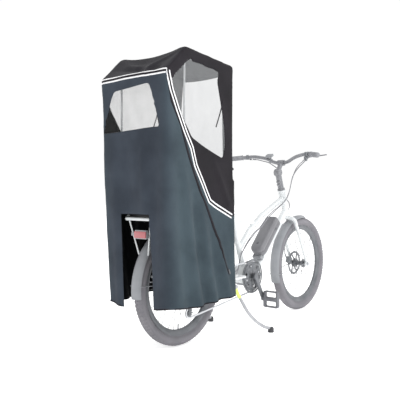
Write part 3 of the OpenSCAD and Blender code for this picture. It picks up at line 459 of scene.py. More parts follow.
def inside(points, outline):
    """Whether each point lies in a closed outline."""
    x, y = points[:, 0], points[:, 1]
    found = np.zeros(len(points), bool)
    for (x0, y0), (x1, y1) in zip(outline, outline[1:] + outline[:1]):
        crosses = ((y0 > y) != (y1 > y)) & (x < (x1 - x0) * (y - y0) / (y1 - y0 + 1e-12) + x0)
        found ^= crosses
    return found


def far_from(points, lines, reach):
    """Whether each point keeps its distance from every line."""
    keep = np.ones(len(points), bool)
    for line in lines:
        for a, b in zip(line[:-1], line[1:]):
            a, b = np.array(a), np.array(b)
            d = b - a
            t = np.clip(((points - a) @ d) / max(d @ d, 1e-12), 0, 1)
            keep &= np.linalg.norm(points - a - t[:, None] * d, axis=1) > reach
    return keep


def patch(outline, inner_lines, step=CLOTH):
    """A triangle mesh of a flat outline that follows its own edge points and the lines drawn on it."""
    lines = [list(outline) + [outline[0]]] + [list(line) for line in inner_lines]
    box = np.array(outline)
    (x0, y0), (x1, y1) = box.min(0), box.max(0)
    rows = [(x0 + (i + 0.5 * (j % 2)) * step, y0 + j * step * 0.866)
            for j in range(int((y1 - y0) / step / 0.866) + 1) for i in range(int((x1 - x0) / step) + 1)]
    rows = np.array(rows)
    rows = rows[inside(rows, list(outline)) & far_from(rows, lines, step * 0.45)]
    verts, edges = [], []
    for line in lines:
        start = len(verts)
        verts += [tuple(p) for p in line]
        edges += [(start + i, start + i + 1) for i in range(len(line) - 1)]
    verts += [tuple(p) for p in rows]
    done = delaunay_2d_cdt([Vector(v) for v in verts], edges, [], 0, 1e-6)
    points = np.array([tuple(v) for v in done[0]])
    faces = np.array([f for f in done[2]])
    faces = faces[inside(points[faces].mean(1), list(outline))]
    u, v = points[faces[:, 1]] - points[faces[:, 0]], points[faces[:, 2]] - points[faces[:, 0]]
    return points, faces[np.abs(u[:, 0] * v[:, 1] - u[:, 1] * v[:, 0]) > 1e-9]


def front_x(z):
    ordered = sorted((z0, x0) for x0, z0 in FRONT)
    return np.interp(z, [p[0] for p in ordered], [p[1] for p in ordered])


def rear_x(z):
    return np.interp(z, [REAR[0][1], REAR[1][1]], [REAR[0][0], REAR[1][0]])


def drape(p, n):
    """Hangs the flat panels: pulls the corners, bows the cloth in, sags the roof and lays the folds."""
    p = p.copy()
    x, y, z = p[:, 0].copy(), p[:, 1].copy(), p[:, 2].copy()
    low = np.clip((0.62 - z) / 0.40, 0, 1) ** 1.5
    back = np.clip((0.05 - x) / 0.36, 0, 1)
    right = (y < 0)
    share = np.abs(y) / HALF
    spread = np.where(right, 0.020 * low * (0.5 + 0.5 * back),
                      -0.022 * low * back + 0.014 * np.exp(-((z - 0.88) / 0.2) ** 2) * back)
    p[:, 1] += np.sign(y) * share * (spread - 0.005)
    near_hem = np.clip((0.42 - z) / 0.18, 0, 1) ** 2
    turn = np.clip(share * 2 - 1, 0, 1)
    hem = np.where(right, 0.003 * back + 0.018 * (1 - back), -0.004 * back + 0.010 * (1 - back)) * turn
    p[:, 2] += near_hem * (hem + 0.004 * np.sin(9.0 * x + 5.0 * y))
    sag = (1 - np.minimum(share, 1) ** 2)
    roof = np.clip((z - 1.338) / 0.09, 0, 1)
    p[:, 2] -= sag * roof * (0.026 + 0.010 * np.sin(math.pi * np.clip((x + 0.205) / 0.37, 0, 1)))
    bow = np.sin(math.pi * np.clip((z - 0.235) / 1.1, 0, 1)) * np.clip((1.40 - z) / 0.1, 0, 1)
    middle = np.where(np.abs(n[:, 1]) > 0.7, np.sin(math.pi * np.clip((x + 0.33) / 0.50, 0, 1)), sag)
    p -= n * (0.007 * bow * middle)[:, None]
    for a, b, height, w0, w1 in FOLDS:
        a, b = np.array(a), np.array(b)
        d = b - a
        t = ((np.stack([x, y, z], 1) - a) @ d) / (d @ d)
        tc = np.clip(t, 0, 1)
        away = np.linalg.norm(np.stack([x, y, z], 1) - a - tc[:, None] * d, axis=1)
        width = w0 + (w1 - w0) * tc
        rise = np.sin(math.pi / 2 * np.clip(tc * 1.6, 0, 1)) * np.clip((1.15 - t) / 0.15, 0, 1)
        p += n * (FOLD_DEPTH * height * rise * np.exp(-(away / width) ** 2))[:, None]
    ripple = (0.0011 * np.sin(38 * (x + y) + 6 * np.sin(5.1 * z)) * np.sin(7 * z + 2.2)
              + 0.0009 * np.sin(61 * (x - 0.8 * y) + 23 * z + 3 * np.sin(9 * z)))
    p += n * (ripple * (0.35 + 0.65 * low))[:, None]
    return p


def side_folds(s):
    """Folds of one side panel, s = -1 on the right: as (top, foot, height, width at the top, width at the foot)."""
    y = s * HALF
    return [((-0.31, y, 1.18), (-0.250, y, 0.20), 0.007, 0.024, 0.040),
            ((-0.29, y, 1.04), (-0.175, y, 0.20), -0.008, 0.020, 0.042),
            ((-0.22, y, 0.97), (-0.120, y, 0.20), 0.010, 0.018, 0.040),
            ((-0.15, y, 0.82), (-0.055, y, 0.20), -0.009, 0.016, 0.038),
            ((-0.09, y, 0.78), (0.000, y, 0.20), 0.008, 0.016, 0.034),
            ((-0.02, y, 0.66), (0.060, y, 0.20), -0.008, 0.014, 0.034),
            ((0.04, y, 0.60), (0.125, y, 0.20), 0.007, 0.012, 0.028),
            ((-0.25, y, 1.40), (-0.10, y, 1.405), -0.004, 0.008, 0.010),
            ((-0.30, y, 1.33), (-0.17, y, 1.425), 0.004, 0.008, 0.008),
            ((0.00, y, 0.96), (0.13, y, 0.72), 0.004, 0.014, 0.020)]


FOLD_DEPTH = 1.7
FOLDS = side_folds(-1) + side_folds(1) + [
    ((-0.334, -0.205, 1.32), (-0.31, -0.165, 0.20), 0.006, 0.020, 0.040),
    ((-0.334, -0.160, 1.10), (-0.31, -0.105, 0.20), -0.007, 0.024, 0.038),
    ((-0.334, -0.050, 1.05), (-0.33, -0.070, 0.62), 0.006, 0.022, 0.036),
    ((-0.334, 0.060, 1.05), (-0.33, 0.030, 0.64), -0.005, 0.022, 0.036),
    ((-0.334, 0.140, 1.05), (-0.31, 0.120, 0.20), 0.006, 0.022, 0.034),
    ((-0.334, 0.205, 1.28), (-0.31, 0.185, 0.20), -0.006, 0.018, 0.034),
    ((-0.270, 0.190, 1.40), (-0.320, -0.150, 1.36), -0.006, 0.016, 0.022),
    ((-0.205, 0.220, 1.46), (-0.280, 0.020, 1.39), 0.006, 0.014, 0.024),
    ((-0.205, -0.220, 1.46), (-0.300, -0.060, 1.37), 0.006, 0.014, 0.024),
    ((-0.205, -0.220, 1.46), (0.120, -0.020, 1.44), -0.005, 0.016, 0.030),
    ((-0.205, 0.220, 1.46), (0.120, 0.060, 1.44), 0.005, 0.016, 0.030)]


def canopy_panels():
    """Flat panels as (points in 3-D, faces, uv, kind): each is cut along its windows and colour lines."""
    rear_edge = evenly([REAR[0], REAR[1]], CLOTH)
    slope_edge = evenly([REAR[1], RIDGE], CLOTH)
    top_edge = evenly([RIDGE, FRONT[0]], CLOTH)
    front_edge = evenly(FRONT[:4] + [(0.170, FRONT_LOW)] + FRONT[4:], CLOTH)
    across_edge = [y for y in np.linspace(-HALF, HALF, 43)]
    side_outline = rear_edge[:-1] + slope_edge[:-1] + top_edge[:-1] + front_edge[:-1] \
        + evenly([FRONT[-1], REAR[0]], CLOTH)[:-1]
    window = evenly(rounded_corners(WIN_SIDE, 0.016) + [rounded_corners(WIN_SIDE, 0.016)[0]], CLOTH)
    colour_line = evenly(STRIPE[:-1] + [(float(front_x(STRIPE[-1][1])), STRIPE[-1][1])], CLOTH)
    flat, faces = patch(side_outline, [window, colour_line])
    middle = flat[faces].mean(1)
    black_zone = [tuple(p) for p in colour_line] + [(0.4, 0.66), (0.4, 1.6), (-0.4, 1.6), (-0.4, 1.34)]
    kinds = np.where(inside(middle, window[:-1]), 4, np.where(inside(middle, black_zone), 1, 0))
    panels = []
    for s in (-1, 1):
        points = np.stack([flat[:, 0], np.full(len(flat), s * HALF), flat[:, 1]], 1)
        panels.append((points, faces if s < 0 else faces[:, ::-1], flat, kinds, (0, s, 0)))
    z_edge = [p[1] for p in rear_edge]
    outline = [(-HALF, z) for z in z_edge[:-1]] + [(y, z_edge[-1]) for y in across_edge[:-1]] \
        + [(HALF, z) for z in z_edge[:0:-1]] \
        + evenly([(HALF, z_edge[0]), NOTCH[3], NOTCH[2], NOTCH[1], NOTCH[0], (-HALF, z_edge[0])], CLOTH)[:-1]
    glass = rounded_corners(WIN_REAR, 0.022)
    flat, faces = patch(outline, [evenly(glass + [glass[0]], CLOTH)])
    kinds = np.where(inside(flat[faces].mean(1), glass), 3, 0)
    panels.append((np.stack([rear_x(flat[:, 1]), flat[:, 0], flat[:, 1]], 1), faces[:, ::-1], flat, kinds,
                   (-1, 0, 0)))
    for edge, kind in ((slope_edge, 2), (top_edge, 2)):
        run = np.concatenate([[0], np.cumsum(np.linalg.norm(np.diff(np.array(edge), axis=0), axis=1))])
        outline = [(-HALF, r) for r in run[:-1]] + [(y, run[-1]) for y in across_edge[:-1]] \
            + [(HALF, r) for r in run[:0:-1]] + [(y, 0.0) for y in across_edge[:0:-1]]
        flat, faces = patch(outline, [])
        x = np.interp(flat[:, 1], run, [p[0] for p in edge])
        z = np.interp(flat[:, 1], run, [p[1] for p in edge])
        panels.append((np.stack([x, flat[:, 0], z], 1), faces[:, ::-1], flat, np.full(len(faces), kind),
                       (-0.2, 0, 1)))
    z_edge = [p[1] for p in front_edge if p[1] >= FRONT_LOW - 1e-6]
    outline = [(-HALF, z) for z in z_edge[::-1][:-1]] + [(y, z_edge[0]) for y in across_edge[:-1]] \
        + [(HALF, z) for z in z_edge[:-1]] + [(y, z_edge[-1]) for y in across_edge[:0:-1]]
    glass = rounded_corners(WIN_FRONT, 0.022)
    flat, faces = patch(outline, [evenly(glass + [glass[0]], CLOTH)])
    kinds = np.where(inside(flat[faces].mean(1), glass), 3, 1)
    panels.append((np.stack([front_x(flat[:, 1]), flat[:, 0], flat[:, 1]], 1), faces, flat, kinds, (1, 0, 0)))
    return panels


def sewn(verts, faces, reach):
    """The panels joined into one sheet: points closer than reach become one."""
    tree = KDTree(len(verts))
    for i, v in enumerate(verts):
        tree.insert(v, i)
    tree.balance()
    first = np.array([min(hit[1] for hit in tree.find_range(v, reach)) for v in verts])
    used, again = np.unique(first, return_inverse=True)
    return verts[used], again.reshape(-1)[faces]


def build_canopy():
    """The merged, draped sheet: cloth and clear panes cut from the same surface."""
    verts, faces, uvs, kinds = [], [], [], []
    count = 0
    for points, tris, flat, kind, _ in canopy_panels():
        verts.append(points)
        faces.append(tris + count)
        uvs.append(flat[tris])
        kinds.append(kind)
        count += len(points)
    verts, faces = np.concatenate(verts), np.concatenate(faces)
    uvs, kinds = np.concatenate(uvs), np.concatenate(kinds)
    verts, faces = sewn(verts, faces, 1e-4)
    whole = (faces[:, 0] != faces[:, 1]) & (faces[:, 1] != faces[:, 2]) & (faces[:, 0] != faces[:, 2])
    faces, uvs, kinds = faces[whole], uvs[whole], kinds[whole]
    outward = np.zeros_like(verts)
    cross = np.cross(verts[faces[:, 1]] - verts[faces[:, 0]], verts[faces[:, 2]] - verts[faces[:, 0]])
    for k in range(3):
        np.add.at(outward, faces[:, k], cross)
    outward /= np.linalg.norm(outward, axis=1)[:, None] + 1e-12
    pairs = np.unique(np.sort(np.concatenate([faces[:, [0, 1]], faces[:, [1, 2]], faces[:, [2, 0]]]), axis=1),
                      axis=0)
    degree = np.bincount(pairs.ravel(), minlength=len(verts))
    for _ in range(3):                      # the panels' normals turn over a few centimetres at each edge
        total = np.zeros_like(outward)
        np.add.at(total, pairs[:, 0], outward[pairs[:, 1]])
        np.add.at(total, pairs[:, 1], outward[pairs[:, 0]])
        outward = outward + total / degree[:, None]
        outward /= np.linalg.norm(outward, axis=1)[:, None]
    edge_y = np.abs(verts[:, 1]) / HALF
    rear_gap = np.abs(verts[:, 0] - rear_x(verts[:, 2])) + (HALF - np.abs(verts[:, 1]))
    corner = np.exp(-(rear_gap / 0.075) ** 2) * np.clip((1.36 - verts[:, 2]) / 0.5, 0.12, 1)
    front_gap = np.abs(verts[:, 0] - front_x(verts[:, 2])) + (HALF - np.abs(verts[:, 1]))
    corner = np.maximum(corner, 0.3 * np.exp(-(front_gap / 0.022) ** 2) * (verts[:, 2] > FRONT_LOW))
    roof_edge = np.clip((verts[:, 2] - 1.33) / 0.04, 0, 1) * np.clip((edge_y - 0.84) / 0.12, 0, 1)
    corner = np.maximum(corner, 0.16 * roof_edge)
    shaped = drape(verts, outward)
    rim = np.zeros(len(verts), int)
    once = np.sort(np.concatenate([faces[:, [0, 1]], faces[:, [1, 2]], faces[:, [2, 0]]]), axis=1)
    unique, times = np.unique(once, axis=0, return_counts=True)
    rim[unique[times == 1].ravel()] = 1
    rim[verts[:, 2] > FRONT_LOW + 0.05] = 0
    for _ in range(26):
        total = np.zeros_like(shaped)
        np.add.at(total, pairs[:, 0], shaped[pairs[:, 1]])
        np.add.at(total, pairs[:, 1], shaped[pairs[:, 0]])
        pull = (corner * np.where(rim == 0, 1, 0.35 * (verts[:, 2] < 0.5)))[:, None]
        shaped += pull * (total / degree[:, None] - shaped) * 0.7
    return shaped + np.array([AXLE_X, 0, 0]), faces, uvs, kinds


def cut_out(name, verts, faces, uvs, chosen, finish, kinds=None):
    """A piece from some of the sheet's faces, with the flat cut as its UV map, in metres."""
    used = np.unique(faces[chosen])
    index = np.full(len(verts), -1)
    index[used] = np.arange(len(used))
    made = piece(name, verts[used], index[faces[chosen]], finish)
    layer = made.data.uv_layers.new(name="cloth")
    layer.data.foreach_set("uv", uvs[chosen].reshape(-1))
    if kinds is not None:
        made.data.polygons.foreach_set("material_index", kinds[chosen])
    # painted light: a point attribute that is 1 on the side panels and 0 in the middle of the rear panel, where the
    # slate cloth takes its lighter, tealer lit tones
    x, y, z = (verts[used] - np.array([AXLE_X, 0, 0])).T
    round_the_corner = (x - rear_x(z) - (HALF - np.abs(y))) / 0.14
    painted_lit_side = made.data.attributes.new("painted_lit_side", "FLOAT", "POINT")
    painted_lit_side.data.foreach_set("value", np.clip(0.5 + round_the_corner, 0, 1))
    return made


sheet_verts, sheet_faces, sheet_uvs, sheet_kinds = build_canopy()
is_cloth = sheet_kinds < 3
canopy = cut_out("canopy_cloth", sheet_verts, sheet_faces, sheet_uvs, is_cloth,
                 ["slate_polyester", "black_polyester", "charcoal_polyester"] + ["lining_painted_shade"] * 3,
                 sheet_kinds)
panes = cut_out("canopy_panes", sheet_verts, sheet_faces, sheet_uvs, ~is_cloth, ["clear_vinyl", "hazy_vinyl"],
                sheet_kinds - 3)
surface_tree = BVHTree.FromPolygons([Vector(v) for v in sheet_verts],
                                    [tuple(int(i) for i in f) for f in sheet_faces])
# the inner face takes the near-black lining: painted shade for the inside of the canopy
wall = canopy.modifiers.new("cloth_thickness", "SOLIDIFY")
wall.thickness, wall.offset, wall.material_offset = 0.0011, -1, 3
settle(canopy)


def lie_on(point, lift):
    """The nearest place on the draped sheet, lifted off it outwards."""
    near, normal, _, _ = surface_tree.find_nearest(point)
    return near + normal * lift, normal


def ribbon(path, width, lift, thick=0.0006, offset=0.0):
    """A flat tape along a path on the sheet: (vertices, faces) of a thin closed strip."""
    rows = []
    for i, p in enumerate(path):
        t = (path[min(i + 1, len(path) - 1)] - path[max(i - 1, 0)]).normalized()
        _, n = lie_on(p, 0)
        side = t.cross(n).normalized()
        rows.append([lie_on(p + side * (offset + width * k), lift) for k in (-0.5, 0, 0.5)])
    verts, faces = [], []
    for row in rows:
        low = [q - n * (lift + thick) * 0.6 for q, n in (row[0], row[2])]
        verts += [low[0], row[0][0], row[1][0] + row[1][1] * thick * 0.3, row[2][0], low[1]]
    for i in range(len(rows) - 1):
        for k in range(5):
            a, b = i * 5 + k, i * 5 + (k + 1) % 5
            faces.append((a, b, b + 5, a + 5))
    last = (len(rows) - 1) * 5
    faces += [(4, 3, 2, 1, 0), tuple(last + k for k in range(5))]
    return verts, faces


def on_side(points, s):
    return [at(x, s * 0.25, z) for x, z in points]


def trims():
    """Reflective piping, zip tapes and hem binding, all lying on the draped cloth."""
    white, black, tapes, binding = [], [], [], []
    for s in (-1, 1):
        path = [lie_on(p, 0)[0] for p in on_side(evenly(STRIPE[:-1] + [(0.150, 0.664)], 0.008), s)]
        for k in (-1, 1):
            white.append(ribbon(path, 0.0075, 0.0010, offset=k * 0.0088))
        black.append(ribbon(path, 0.011, 0.0008))
        path = [lie_on(p, 0)[0] for p in on_side(evenly(ZIP, 0.008), s)]
        tapes.append(ribbon(path, 0.014, 0.0008))
        edge = [lie_on(p, 0)[0] for p in on_side(evenly([(-0.306, 0.236), (0.172, 0.236)], 0.008), s)]
        binding.append(ribbon(edge, 0.011, 0.0009))
        strap = [lie_on(at(x, s * 0.25, z), 0)[0] for x, z in evenly([(0.023, 1.106), (0.079, 1.243)], 0.010)]
        tapes.append(ribbon(strap, 0.007, 0.0009))
    path = [lie_on(at(-0.36, y, 1.332), 0)[0] for y in np.linspace(-0.232, 0.232, 60)]
    for k in (-1, 1):
        white.append(ribbon(path, 0.0075, 0.0010, offset=k * 0.0088))
    black.append(ribbon(path, 0.011, 0.0008))
    for line in ([(-HALF + 0.003, 0.236), (NOTCH[0][0] - 0.004, 0.236)],
                 [(NOTCH[3][0] + 0.004, 0.236), (HALF - 0.003, 0.236)]):
        edge = [lie_on(at(-0.34, y, z), 0)[0] for y, z in evenly(line, 0.008)]
        binding.append(ribbon(edge, 0.011, 0.0009))
    for name, groups, finish in (("piping_white", white, "reflective_tape"),
                                 ("piping_black", black, "black_webbing"),
                                 ("zip_tapes", tapes, "black_webbing"),
                                 ("hem_binding", binding, "black_webbing")):
        made = tidy(piece(name, *joined(groups), finish), 1e-6)
        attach(made, "frame")
        yield made


canopy_trims = list(trims())
for made in (canopy, panes):
    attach(made, "frame")
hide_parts("canopy_rear", "canopy_top", "canopy_sides")
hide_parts("canopy_windows")
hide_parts("canopy_trim")

# ---------------------------------------------------------------- turned, cut and repeated shapes
def turned(foot, axis, profile, sides=40, ring=False):
    """A turned shape: profile is (distance along axis from foot, radius). A ring's profile closes on itself."""
    foot, axis = Vector(foot), Vector(axis).normalized()
    side = axis.orthogonal().normalized()
    up = axis.cross(side)
    spokes = [side * math.cos(2 * math.pi * k / sides) + up * math.sin(2 * math.pi * k / sides) for k in range(sides)]
    verts = [foot + axis * far + spoke * radius for far, radius in profile for spoke in spokes]
    return verts, ring_faces(len(profile), sides, ring)


def barrel(a, b, radius, edge=0.001, sides=32):
    """A round bar from a to b with its edges eased."""
    a, b = Vector(a), Vector(b)
    length = (b - a).length
    return turned(a, b - a, [(0, radius - edge), (edge, radius), (length - edge, radius),
                             (length, radius - edge)],
                  sides)


SLIVER = 1e-10        # twice the area, in square metres, under which a triangle is dropped


def polar(radius, angle, middle=(0, 0)):
    """A point that far from middle, at that angle."""
    return middle[0] + radius * math.cos(angle), middle[1] + radius * math.sin(angle)


def circle(radius, count, middle=(0, 0)):
    """A closed outline of count points."""
    return [polar(radius, 2 * math.pi * k / count, middle) for k in range(count)]


def cut_plate(outline, holes, low, high, middle):
    """A plate across the bicycle from y = low to high, inside the outline and outside its holes."""
    verts, edges = [], []
    for line in [outline] + holes:
        edges += [(len(verts) + i, len(verts) + (i + 1) % len(line)) for i in range(len(line))]
        verts += [Vector(p) for p in line]
    drawn = delaunay_2d_cdt(verts, edges, [], 0, 1e-7)
    flat, tris = np.array([tuple(p) for p in drawn[0]]), np.array(drawn[2])
    u, v = flat[tris[:, 1]] - flat[tris[:, 0]], flat[tris[:, 2]] - flat[tris[:, 0]]
    centres = flat[tris].mean(1)
    kept = inside(centres, outline) & (np.abs(u[:, 0] * v[:, 1] - u[:, 1] * v[:, 0]) > SLIVER)
    for hole in holes:
        kept &= ~inside(centres, hole)
    tris = tris[kept]
    count = len(flat)
    ways = {(int(t[k]), int(t[(k + 1) % 3])) for t in tris for k in range(3)}
    walls = [(a, b, b + count, a + count) for a, b in ways if (b, a) not in ways]
    points = [Vector(middle) + Vector((x, y, z)) for y in (low, high) for x, z in flat]
    faces = [tuple(int(i) for i in t) for t in tris] + [tuple(int(i) + count for i in t[::-1]) for t in tris]
    return points, faces + walls


def repeat_tree(name, finish):
    """Sets the small piece on every vertex, its X turned along the vertex's "along" and its Z towards "out"."""
    tree = bpy.data.node_groups.new(name, "GeometryNodeTree")
    for label, kind in (("Places", "NodeSocketGeometry"), ("Piece", "NodeSocketObject"),
                        ("Size", "NodeSocketFloat"),
                        ("Uneven", "NodeSocketFloat"), ("Seed", "NodeSocketInt")):
        tree.interface.new_socket(label, in_out="INPUT", socket_type=kind)
    tree.interface.new_socket("Pieces", in_out="OUTPUT", socket_type="NodeSocketGeometry")
    given = add(tree, "NodeGroupInput").outputs
    along = add(tree, "GeometryNodeInputNamedAttribute", {"Name": "along"}, data_type="FLOAT_VECTOR")
    out = add(tree, "GeometryNodeInputNamedAttribute", {"Name": "out"}, data_type="FLOAT_VECTOR")
    faced = add(tree, "FunctionNodeAlignRotationToVector", {"Vector": along.outputs["Attribute"]}, axis="X")
    upright = add(tree, "FunctionNodeAlignRotationToVector",
                  {"Rotation": faced.outputs["Rotation"], "Vector": out.outputs["Attribute"]},
                  axis="Z", pivot_axis="X")
    chance = add(tree, "FunctionNodeRandomValue", {"Seed": given["Seed"]}, data_type="FLOAT")
    share = add(tree, "ShaderNodeMath", {0: chance.outputs[1], 1: given["Uneven"], 2: 1.0},
                operation="MULTIPLY_ADD")
    scale = add(tree, "ShaderNodeMath", {0: share.outputs["Value"], 1: given["Size"]}, operation="MULTIPLY")
    small = add(tree, "GeometryNodeObjectInfo", {"Object": given["Piece"]})
    placed = add(tree, "GeometryNodeInstanceOnPoints",
                 {"Points": given["Places"], "Instance": small.outputs["Geometry"],
                  "Rotation": upright.outputs["Rotation"], "Scale": scale.outputs["Value"]})
    real = add(tree, "GeometryNodeRealizeInstances", {"Geometry": placed.outputs["Instances"]})
    finished = add(tree, "GeometryNodeSetMaterial",
                   {"Geometry": real.outputs["Geometry"], "Material": FINISH[finish]})
    add(tree, "NodeGroupOutput", {"Pieces": finished.outputs["Geometry"]})
    return tree


def repeated(name, small, places, finish, size=1.0, uneven=0.0, seed=1):
    """One mesh of a small shape set at every (point, along, out)."""
    pattern = piece(name + "_pattern", *small, finish, False)
    made = piece(name, [point for point, _, _ in places], [], finish, False)
    for label, column in (("along", 1), ("out", 2)):
        data = made.data.attributes.new(label, "FLOAT_VECTOR", "POINT")
        data.data.foreach_set("vector", [c for place in places for c in place[column]])
    nodes = made.modifiers.new("repeat", "NODES")
    nodes.node_group = repeat_tree(name, finish)
    values = {"Piece": pattern, "Size": size, "Uneven": uneven, "Seed": seed}
    for item in nodes.node_group.interface.items_tree:
        if item.in_out == "INPUT" and item.name in values:
            nodes[item.identifier] = values[item.name]
    settle(made)
    bpy.data.objects.remove(pattern)
    return made


def block(length, width, height, top=0.8):
    """A small block standing on its base, a little narrower at the top."""
    verts = [(sx * length / 2 * k, sy * width / 2 * k, z) for k, z in ((1, 0), (top, height))
             for sx, sy in ((-1, -1), (1, -1), (1, 1), (-1, 1))]
    return verts, [(3, 2, 1, 0), (4, 5, 6, 7)] + [(i, (i + 1) % 4, 4 + (i + 1) % 4, 4 + i) for i in range(4)]


def hex_bolt(radius, height):
    """A socket-head bolt standing on its base, with a turned recess in its head."""
    return turned((0, 0, 0), (0, 0, 1), [(0, radius), (height * 0.8, radius), (height, radius * 0.86),
                                         (height, radius * 0.5), (height * 0.4, radius * 0.45)], 12)


NODE_BODY = {node: body for body, nodes in frame["record"]["behaviour"]["bodies"].items() for node in nodes}


def fitted(made, slot, *nodes, body=None):
    """Lets a piece ride with the nodes it stands for, or with a named body."""
    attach(made, body or NODE_BODY[nodes[0]])
    if nodes:
        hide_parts(*nodes)
    return made


def eased(node, width, finish, slot, segments=2):
    """A copy of a CAD node with its flat facets merged and its edges rounded, as casting or moulding leaves them."""
    mesh = frame["nodes"][node].data
    made = piece(node + "_finished", [v.co for v in mesh.vertices],
                 [tuple(p.vertices) for p in mesh.polygons], finish)
    bm = bmesh.new()
    bm.from_mesh(made.data)
    bmesh.ops.remove_doubles(bm, verts=bm.verts, dist=2e-6)
    bmesh.ops.dissolve_limit(bm, angle_limit=math.radians(0.6), verts=bm.verts, edges=bm.edges)
    bm.to_mesh(made.data)
    bm.free()
    soften(made, width, segments, 42)
    made.data.shade_smooth()
    made.data.set_sharp_from_angle(angle=math.radians(50))
    return fitted(made, slot, node)


# ---------------------------------------------------------------- steering
HEAD_ANGLE = math.radians(70)
STEER_X = 1.16511     # the steering axis at axle height, from the rear axle
CLAMP = 0.690         # the bar's clamp, up the steering axis
OFFSET, FRONT_AXLE_S = 0.045, -0.01638
BLADE_Y = 0.060
BAR = [(0, 0, 0), (-0.002, 0.045, 0.002), (-0.013, 0.110, 0.033), (-0.035, 0.185, 0.046),
       (-0.059, 0.240, 0.042),
       (-0.139, 0.335, 0.029)]


def on_axis(s, x=0.0, y=0.0):
    """A place s up the steering axis from axle height, x square to it and forwards, and y to the left."""
    return at(STEER_X - s * math.cos(HEAD_ANGLE) + x * math.sin(HEAD_ANGLE), y,
              TYRE_R + s * math.sin(HEAD_ANGLE) + x * math.cos(HEAD_ANGLE))


def mirrored(points):
    """The same points on the other side of the bicycle."""
    return [Vector((p[0], -p[1], p[2])) for p in points]


def bent(points, cut=0.025, per=6):
    """A line through the points whose straight runs stay, with each corner turned on a curve."""
    p = [Vector(q) for q in points]
    out = [p[0]]
    for a, b, c in zip(p[:-2], p[1:-1], p[2:]):
        near = min(cut, 0.45 * (a - b).length, 0.45 * (c - b).length)
        s, e = b + (a - b).normalized() * near, b + (c - b).normalized() * near
        out += [(1 - t) ** 2 * s + 2 * t * (1 - t) * b + t * t * e for t in [k / per for k in range(per + 1)]]
    return out + [p[-1]]


def make_fork():
    """Unicrown fork: two blades swept out of the crown, tapering to forged dropouts round the axle."""
    blade = spline([on_axis(0.333, 0, 0.004), on_axis(0.331, 0, 0.028), on_axis(0.323, 0, 0.048),
                    on_axis(0.304, 0.001, 0.0595), on_axis(0.270, 0.005, BLADE_Y),
                    on_axis(0.180, 0.019, BLADE_Y),
                    on_axis(0.080, 0.033, BLADE_Y), on_axis(0.004, 0.0435, BLADE_Y)], 8)
    radii = [0.0128 - 0.0040 * max(0, i / len(blade) - 0.35) / 0.65 for i in range(len(blade))]
    groups = [swept(path, radii, 24) for path in (blade, mirrored(blade))]
    groups.append(turned(on_axis(0.328), on_axis(1) - on_axis(0),
                         [(0, 0.017), (0.004, 0.021), (0.0185, 0.021),
                                                                   (0.0195, 0.020)]))
    groups.append(turned(on_axis(0.33), on_axis(1) - on_axis(0), [(0, 0.0143), (0.266, 0.0143)]))
    for s in (-1, 1):
        groups.append(turned(on_axis(FRONT_AXLE_S, OFFSET, s * 0.0500), (0, s, 0),
                             [(0, 0.0062), (0, 0.0155), (0.0015, 0.017), (0.0125, 0.017), (0.014, 0.0155),
                              (0.014, 0.0062)], ring=True))
    return tidy(piece("fork_blades", *joined(groups), "powder_coat_white"))


def make_bar():
    """The swept handlebar: one bent tube with rolled ends."""
    left = [on_axis(CLAMP, 0.059) + Vector(p) for p in BAR]
    path = bent(mirrored(left)[:0:-1] + left)
    return tidy(piece("bar_tube", *swept(path, 0.0111, 24), "bar_alloy")), left


def make_grip(name, inner, outer):
    """A ribbed rubber grip with a flange and a domed end."""
    way = (outer - inner).normalized()
    start, length = outer - way * 0.108, 0.112
    profile = [(0, 0.0112), (0, 0.0175), (0.0035, 0.0178), (0.0045, 0.0150)]
    for k in range(22):
        far = 0.006 + k * 0.0044
        profile += [(far, 0.0150), (far + 0.0009, 0.0159), (far + 0.0030, 0.0159), (far + 0.0039, 0.0150)]
    return tidy(piece(name, *turned(start, way, profile + [(length - 0.004, 0.0155), (length, 0.0125)], 36),
                      "grip_rubber"))


def make_lever(name, s):
    """A forged brake lever: a round blade that thins and hooks forward at its tip."""
    hinge = at(0.9651, 0.2272, 1.0115)
    path = spline([hinge + Vector(p) for p in ((-0.002, -0.002, 0), (0.010, 0.018, 0.001),
                                               (0.0175, 0.045, 0.002),
                                               (0.010, 0.075, 0.003), (-0.002, 0.100, 0.004),
                                               (-0.004, 0.108, 0.004))], 8)
    path = [Vector((p.x, s * p.y, p.z)) for p in path]
    radii = [0.0048 - 0.0014 * i / len(path) for i in range(len(path) - 1)] + [0.0030]
    hinge.y *= s
    knuckle = turned(hinge - Vector((0, 0, 0.0045)), (0, 0, 1),
                     [(0, 0.0031), (0, 0.0068), (0.001, 0.008), (0.008, 0.008), (0.009, 0.0068),
                      (0.009, 0.0031)],
                     ring=True)
    return tidy(piece(name, *joined([swept(path, radii, 16), knuckle]), "bar_alloy"))


fitted(make_fork(), "frame_paint", "fork")
bar_tube, bar_points = make_bar()
fitted(bar_tube, "alloy", "handlebar")
grip_left = make_grip("grip_left", bar_points[4], bar_points[5])
grip_right = make_grip("grip_right", *mirrored(bar_points[4:6]))
fitted(grip_left, "rubber", "grips")
fitted(grip_right, "rubber", body="steering")
fitted(make_lever("lever_blade_left", 1), "alloy", "lever_left")
fitted(make_lever("lever_blade_right", -1), "alloy", "lever_right")

